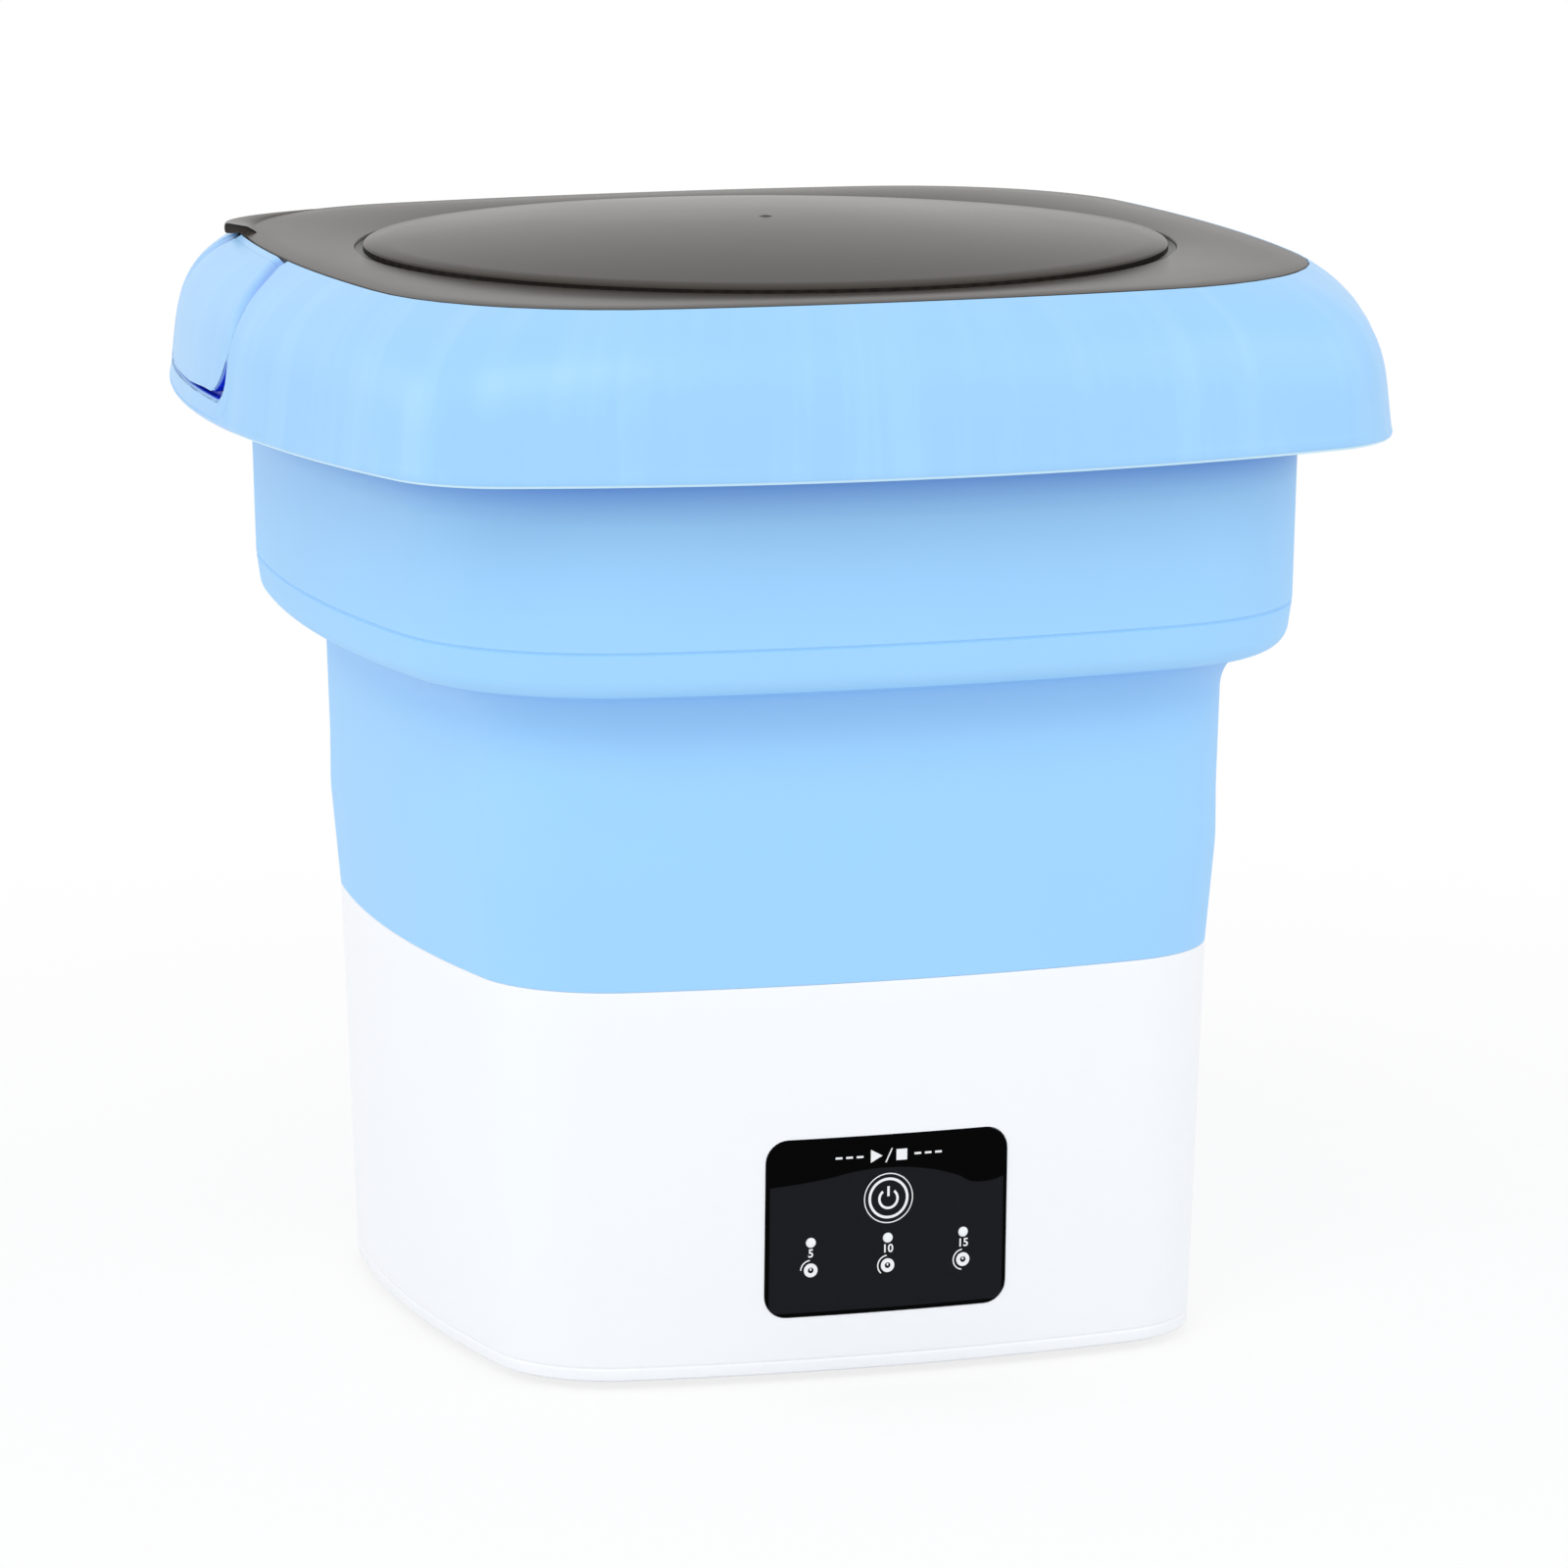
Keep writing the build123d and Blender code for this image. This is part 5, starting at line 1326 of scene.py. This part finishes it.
def panel_black():
    """Black acrylic, clear below a waved line and deep black above it and round its border; the
    clearer, glossier field below the line is painted reflection.
    """
    name = "black_acrylic"
    if name in bpy.data.materials:
        return bpy.data.materials[name]
    black = finish(name)
    tree = black.node_tree
    place = split_place(tree)
    half = PANEL_HALF[0] * MM
    sockets = {"Value": place["X"], "From Min": -half, "From Max": half}
    across = new_node(tree, "ShaderNodeMapRange", sockets)
    wave = new_node(tree, "ShaderNodeFloatCurve", {"Value": across.outputs[0]})
    curve = wave.mapping.curves[0]
    deepest = 20.0
    drops = [(0.22, 11.6), (0.4, 9.4), (0.5, 9.1), (0.65, 10.1), (0.78, 12.6), (0.88, 15.3)]
    curve.points[0].location = (0.0, 13.3 / deepest)
    curve.points[1].location = (1.0, 13.6 / deepest)
    for at, drop in drops:
        curve.points.new(at, drop / deepest)
    wave.mapping.update()
    # The waved line bounds a painted reflection.
    drop = maths(tree, "MULTIPLY", wave.outputs[0], deepest * MM)
    line = maths(tree, "SUBTRACT", PANEL_HIGH * MM, drop)
    below = ramp(tree, maths(tree, "SUBTRACT", line, place["Z"]), -0.1 * MM, 0.2 * MM)
    inside = []
    for axis, middle, reach in (("X", 0.0, PANEL_HALF[0]), ("Z", PANEL_UP, PANEL_HALF[1])):
        away = maths(tree, "ABSOLUTE", maths(tree, "SUBTRACT", place[axis], middle * MM))
        inside.append(ramp(tree, away, (reach - 1.0) * MM, (reach - 1.4) * MM))
    field = maths(tree, "MULTIPLY", below, maths(tree, "MULTIPLY", *inside))
    # Stronger coat in the field below the line: painted reflection.
    painted_reflection_coat = maths(tree, "ADD", maths(tree, "MULTIPLY", field, 0.12), 0.015)
    fill(tree, tree.nodes["Principled BSDF"], {"Coat Weight": painted_reflection_coat})
    colour = opaque(bpy.context.scene.washer_colours.panel)
    # Lighter black in the field below the line: painted reflection.
    return recolour(black, mix_colour(tree, field, (0.0004, 0.0004, 0.0005, 1.0), colour))


def button_marks(top):
    """The rings and the power sign on the button."""
    dished = top - 0.06
    return [
        band_mark(0.0, BUTTON_UP, 7.0, 7.3, top + 0.02, steps=64),
        band_mark(0.0, BUTTON_UP, 5.2, 5.95, dished + 0.02, steps=64),
        band_mark(0.0, BUTTON_UP - 0.2, 2.35, 3.05, dished, 128, 412),
        bar_mark((-0.35, BUTTON_UP + 0.5), (0.35, BUTTON_UP + 3.4), dished),
    ]


def panel_marks(top):
    """The start and stop signs between dashes, and a number and a dial under each lamp."""
    row = PANEL_HIGH - 5.6

    def arrow(across, along):
        return -5.4 + 3.4 * across, row + 1.9 * (2 * along - 1) * (1 - 0.98 * across)

    def slash(across, along):
        return -0.2 + 0.4 * across + 0.9 * (2 * along - 1), row + 2.0 * (2 * along - 1)

    marks = [printed(6, 6, arrow, top), printed(2, 2, slash, top)]
    marks.append(bar_mark((2.2, row - 1.6), (5.4, row + 1.6), top))
    for side in (-1, 1):
        for gap in range(3):
            middle = side * (8.6 + 3.1 * gap)
            marks.append(bar_mark((middle - 1.0, row - 0.3), (middle + 1.0, row + 0.3), top))
    for side, end, words in ((-1, 178, "5"), (0, 228, "10"), (1, 262, "15")):
        x = side * LAMP_SPREAD
        marks.append(number_mark(words, x, LAMPS_UP - 3.2, 2.4, top))
        marks.append(band_mark(x, DIALS_UP, 0.85, 2.0, top, steps=36))
        marks.append(bar_mark((x - 0.22, DIALS_UP - 0.1), (x + 0.22, DIALS_UP + 0.6), top))
        marks.append(band_mark(x, DIALS_UP, 2.75, 3.1, top, 96, end, 30))
    return marks


class WASHER_OT_panel(bpy.types.Operator):
    """Model the control panel, its button, lamps and printed marks"""

    bl_idname = "washer.panel"
    bl_label = "Control panel"

    def execute(self, context):
        top = PANEL_PROUD
        lamps_at = [side * LAMP_SPREAD for side in (-1, 0, 1)]
        black, white = panel_black(), finish("printed_white")
        outer = face_out(panel_sheet("panel_plate", 0.0, top), Vector((0, -1, 0)))
        piece = plate(outer, PANEL_WALL, 0.35)
        drill(piece, 0.0, BUTTON_UP, BUTTON_HOLE)
        for x in lamps_at:
            drill(piece, x, LAMPS_UP, LAMP_HOLE, 24)
        tidy(piece)
        seat(piece, "base", "black_gloss", black, "control_panel")
        key = [(0, -0.8), (7.3, -0.8), (7.4, -0.6), (7.4, top - 0.15), (7.25, top)]
        key += [(6.6, top + 0.02), (6.2, top - 0.04), (4.6, top - 0.06), (2.0, top - 0.06)]
        key += [(0, top - 0.06)]
        button = boss("start_button", 0.0, BUTTON_UP, key, 64)
        seat(button, "button", "black_gloss", black, "power_button")
        rings = named(tidy(join(*button_marks(top))), "button_marks")
        seat(rings, "button", "black_gloss", white)
        printing = named(tidy(join(*panel_marks(top))), "panel_marks")
        seat(printing, "base", "black_gloss", white)
        lens = [(0, -1.0), (1.45, -1.0), (1.45, top), (1.3, top + 0.18), (0.95, top + 0.3)]
        lens += [(0.5, top + 0.36), (0, top + 0.38)]
        lights = [boss("lamp", x, LAMPS_UP, lens, 32) for x in lamps_at]
        lights = named(tidy(join(*lights)), "lamp_lenses")
        seat(lights, "base", "lamp", finish("milky_lamp"), "indicator_leds")
        return {"FINISHED"}


class WASHER_OT_inside(bpy.types.Operator):
    """Finish the tub's floor, its pulsator and the clamp behind the skirt"""

    bl_idname = "washer.inside"
    bl_label = "Inside of the tub"

    def execute(self, context):
        white = finish("inner_white_plastic")
        paint(white, "tub_pan", "pulsator", "pulsator_cap", "drain_strainer")
        paint(rim_blue(), "clamp_ring")
        paint(finish("bright_steel"), "clamp_screws", "pulsator_screw", "handle_pins")
        return {"FINISHED"}


class WASHER_OT_back(bpy.types.Operator):
    """Finish the drain and the power inlet at the back"""

    bl_idname = "washer.back"
    bl_label = "Back fittings"

    def execute(self, context):
        paint(finish("inner_white_plastic"), "drain_spout")
        paint(finish("grey_rubber"), "drain_plug")
        paint(finish("plain_black_plastic"), "power_socket")
        return {"FINISHED"}


class WASHER_OT_underside(bpy.types.Operator):
    """Finish the bottom cover, its feet and its screws"""

    bl_idname = "washer.underside"
    bl_label = "Underside"

    def execute(self, context):
        paint(finish("cover_white_plastic"), "bottom_cover")
        paint(finish("grey_rubber"), "rubber_feet")
        paint(finish("bright_steel"), "cover_screws")
        return {"FINISHED"}


class WASHER_OT_works(bpy.types.Operator):
    """Finish the drive, the motor and the electronics inside the base"""

    bl_idname = "washer.works"
    bl_label = "Works in the base"

    def execute(self, context):
        steel = finish("bright_steel")
        paint(steel, "gearbox_screws", "motor_screws", "board_screws", "drive_shaft", "motor_shaft")
        paint(finish("plated_motor_steel"), "motor_can", "motor_rotor")
        bronze = finish("sintered_bronze")
        paint(bronze, "upper_bearing", "lower_bearing", "motor_bushing", "pinion_gear")
        paint(finish("cream_plastic"), "gearbox_housing", "board_connectors")
        paint(finish("white_nylon"), "drive_gear")
        paint(finish("dark_ferrite"), "motor_magnets")
        paint(finish("black_rubber"), "shaft_seal", "motor_leads", "power_leads")
        paint(finish("board_green"), "control_board")
        paint(finish("plain_black_plastic"), "tact_switch", "motor_end_cap")
        return {"FINISHED"}


def soft_lamp(name, spot, aim, size, power):
    """A large soft lamp that looks at a place."""
    deselect()
    bpy.ops.object.light_add(type="AREA", location=spot)
    lamp = named(bpy.context.object, name)
    lamp.data.shape = "DISK"
    lamp.data.size = size
    lamp.data.energy = power
    lamp.rotation_euler = (Vector(aim) - Vector(spot)).to_track_quat("-Z", "Y").to_euler()


def seen_directly(tree):
    """A mask that is 1 for the camera, and for what shows in metal or through glass."""
    rays = new_node(tree, "ShaderNodeLightPath").outputs
    seen = maths(tree, "MAXIMUM", rays["Is Camera Ray"], rays["Is Glossy Ray"])
    return maths(tree, "MAXIMUM", seen, rays["Is Transmission Ray"])


def pale_floor():
    """A floor that looks white far off and keeps the washer's shadow near it."""
    pale = bpy.data.materials.new("pale_floor")
    pale.use_nodes = True
    tree = pale.node_tree
    surface = tree.nodes["Principled BSDF"]
    plain = {"Base Color": (0.9, 0.9, 0.9, 1.0), "Roughness": 0.9, "Specular IOR Level": 0.0}
    fill(tree, surface, plain)
    glow = new_node(tree, "ShaderNodeEmission", {"Strength": 1.0})
    away = new_node(tree, "ShaderNodeVectorMath", {0: object_place(tree)}, operation="LENGTH")
    far = ramp(tree, away.outputs["Value"], 0.25, 0.9)
    share = maths(tree, "ADD", maths(tree, "MULTIPLY", far, 0.2), 0.8)
    mask = maths(tree, "MULTIPLY", seen_directly(tree), share)
    sockets = {0: mask, 1: surface.outputs[0], 2: glow.outputs[0]}
    mix = new_node(tree, "ShaderNodeMixShader", sockets)
    fill(tree, tree.nodes["Material Output"], {"Surface": mix.outputs[0]})
    return pale


class WASHER_OT_stage(bpy.types.Operator):
    """Set the floor, the light and the camera"""

    bl_idname = "washer.stage"
    bl_label = "Stage"

    def execute(self, context):
        scene = context.scene
        scene.view_settings.view_transform = "Standard"
        deselect()
        bpy.ops.mesh.primitive_circle_add(vertices=96, radius=14.0, fill_type="NGON")
        floor = named(context.object, "studio_floor")
        edit_all(floor)
        bpy.ops.mesh.inset(thickness=9.0)
        bpy.ops.object.mode_set(mode="OBJECT")
        floor.data.materials.append(pale_floor())
        world = scene.world = bpy.data.worlds.new("white_studio")
        world.use_nodes = True
        tree = world.node_tree
        level = maths(tree, "ADD", maths(tree, "MULTIPLY", seen_directly(tree), 0.16), 0.84)
        white = (1.0, 1.0, 1.0, 1.0)
        fill(tree, tree.nodes["Background"], {"Color": white, "Strength": level})
        sizes = scene.washer_sizes
        soft_lamp("key_lamp", (-0.9, -1.5, 1.7), (0, 0, 0.2), 1.4, sizes.key_power)
        soft_lamp("fill_lamp", (1.5, -1.1, 1.1), (0, 0, 0.15), 1.4, sizes.fill_power)
        soft_lamp("side_lamp", (-1.7, 0.5, 0.7), (-0.1, 0, 0.2), 1.0, sizes.side_power)
        deselect()
        bpy.ops.object.camera_add(location=CAMERA_AT)
        camera = named(context.object, "photo_camera")
        camera.rotation_euler = Vector(CAMERA_AIM).to_track_quat("-Z", "Y").to_euler()
        camera.data.lens = CAMERA_LENS
        camera.data.sensor_width = CAMERA_SENSOR
        camera.data.clip_end = 100.0
        scene.camera = camera
        return {"FINISHED"}


OPERATORS = (
    WASHER_OT_base,
    WASHER_OT_wall,
    WASHER_OT_rim,
    WASHER_OT_flap,
    WASHER_OT_lid,
    WASHER_OT_panel,
    WASHER_OT_inside,
    WASHER_OT_back,
    WASHER_OT_underside,
    WASHER_OT_works,
    WASHER_OT_stage,
)


class WASHER_PT_sidebar(bpy.types.Panel):
    """Lists the washer's sizes, colours and pieces"""

    bl_idname = "WASHER_PT_sidebar"
    bl_label = "Washer"
    bl_space_type = "VIEW_3D"
    bl_region_type = "UI"
    bl_category = "Washer"

    def draw(self, context):
        for group in (context.scene.washer_sizes, context.scene.washer_colours):
            for name in group.bl_rna.properties.keys():
                if name not in ("rna_type", "name"):
                    self.layout.prop(group, name)
        for operator in OPERATORS:
            self.layout.operator(operator.bl_idname)


CLASSES = (WasherSizes, WasherColours) + OPERATORS + (WASHER_PT_sidebar,)


def register():
    for each in CLASSES:
        bpy.utils.register_class(each)
    bpy.types.Scene.washer_sizes = PointerProperty(type=WasherSizes)
    bpy.types.Scene.washer_colours = PointerProperty(type=WasherColours)


def unregister():
    del bpy.types.Scene.washer_colours
    del bpy.types.Scene.washer_sizes
    for each in reversed(CLASSES):
        bpy.utils.unregister_class(each)


def main():
    """Build every piece in order."""
    register()
    bpy.ops.washer.base()
    bpy.ops.washer.wall()
    bpy.ops.washer.rim()
    bpy.ops.washer.flap()
    bpy.ops.washer.lid()
    bpy.ops.washer.panel()
    bpy.ops.washer.inside()
    bpy.ops.washer.back()
    bpy.ops.washer.underside()
    bpy.ops.washer.works()
    bpy.ops.washer.stage()


if __name__ == "__main__":
    main()
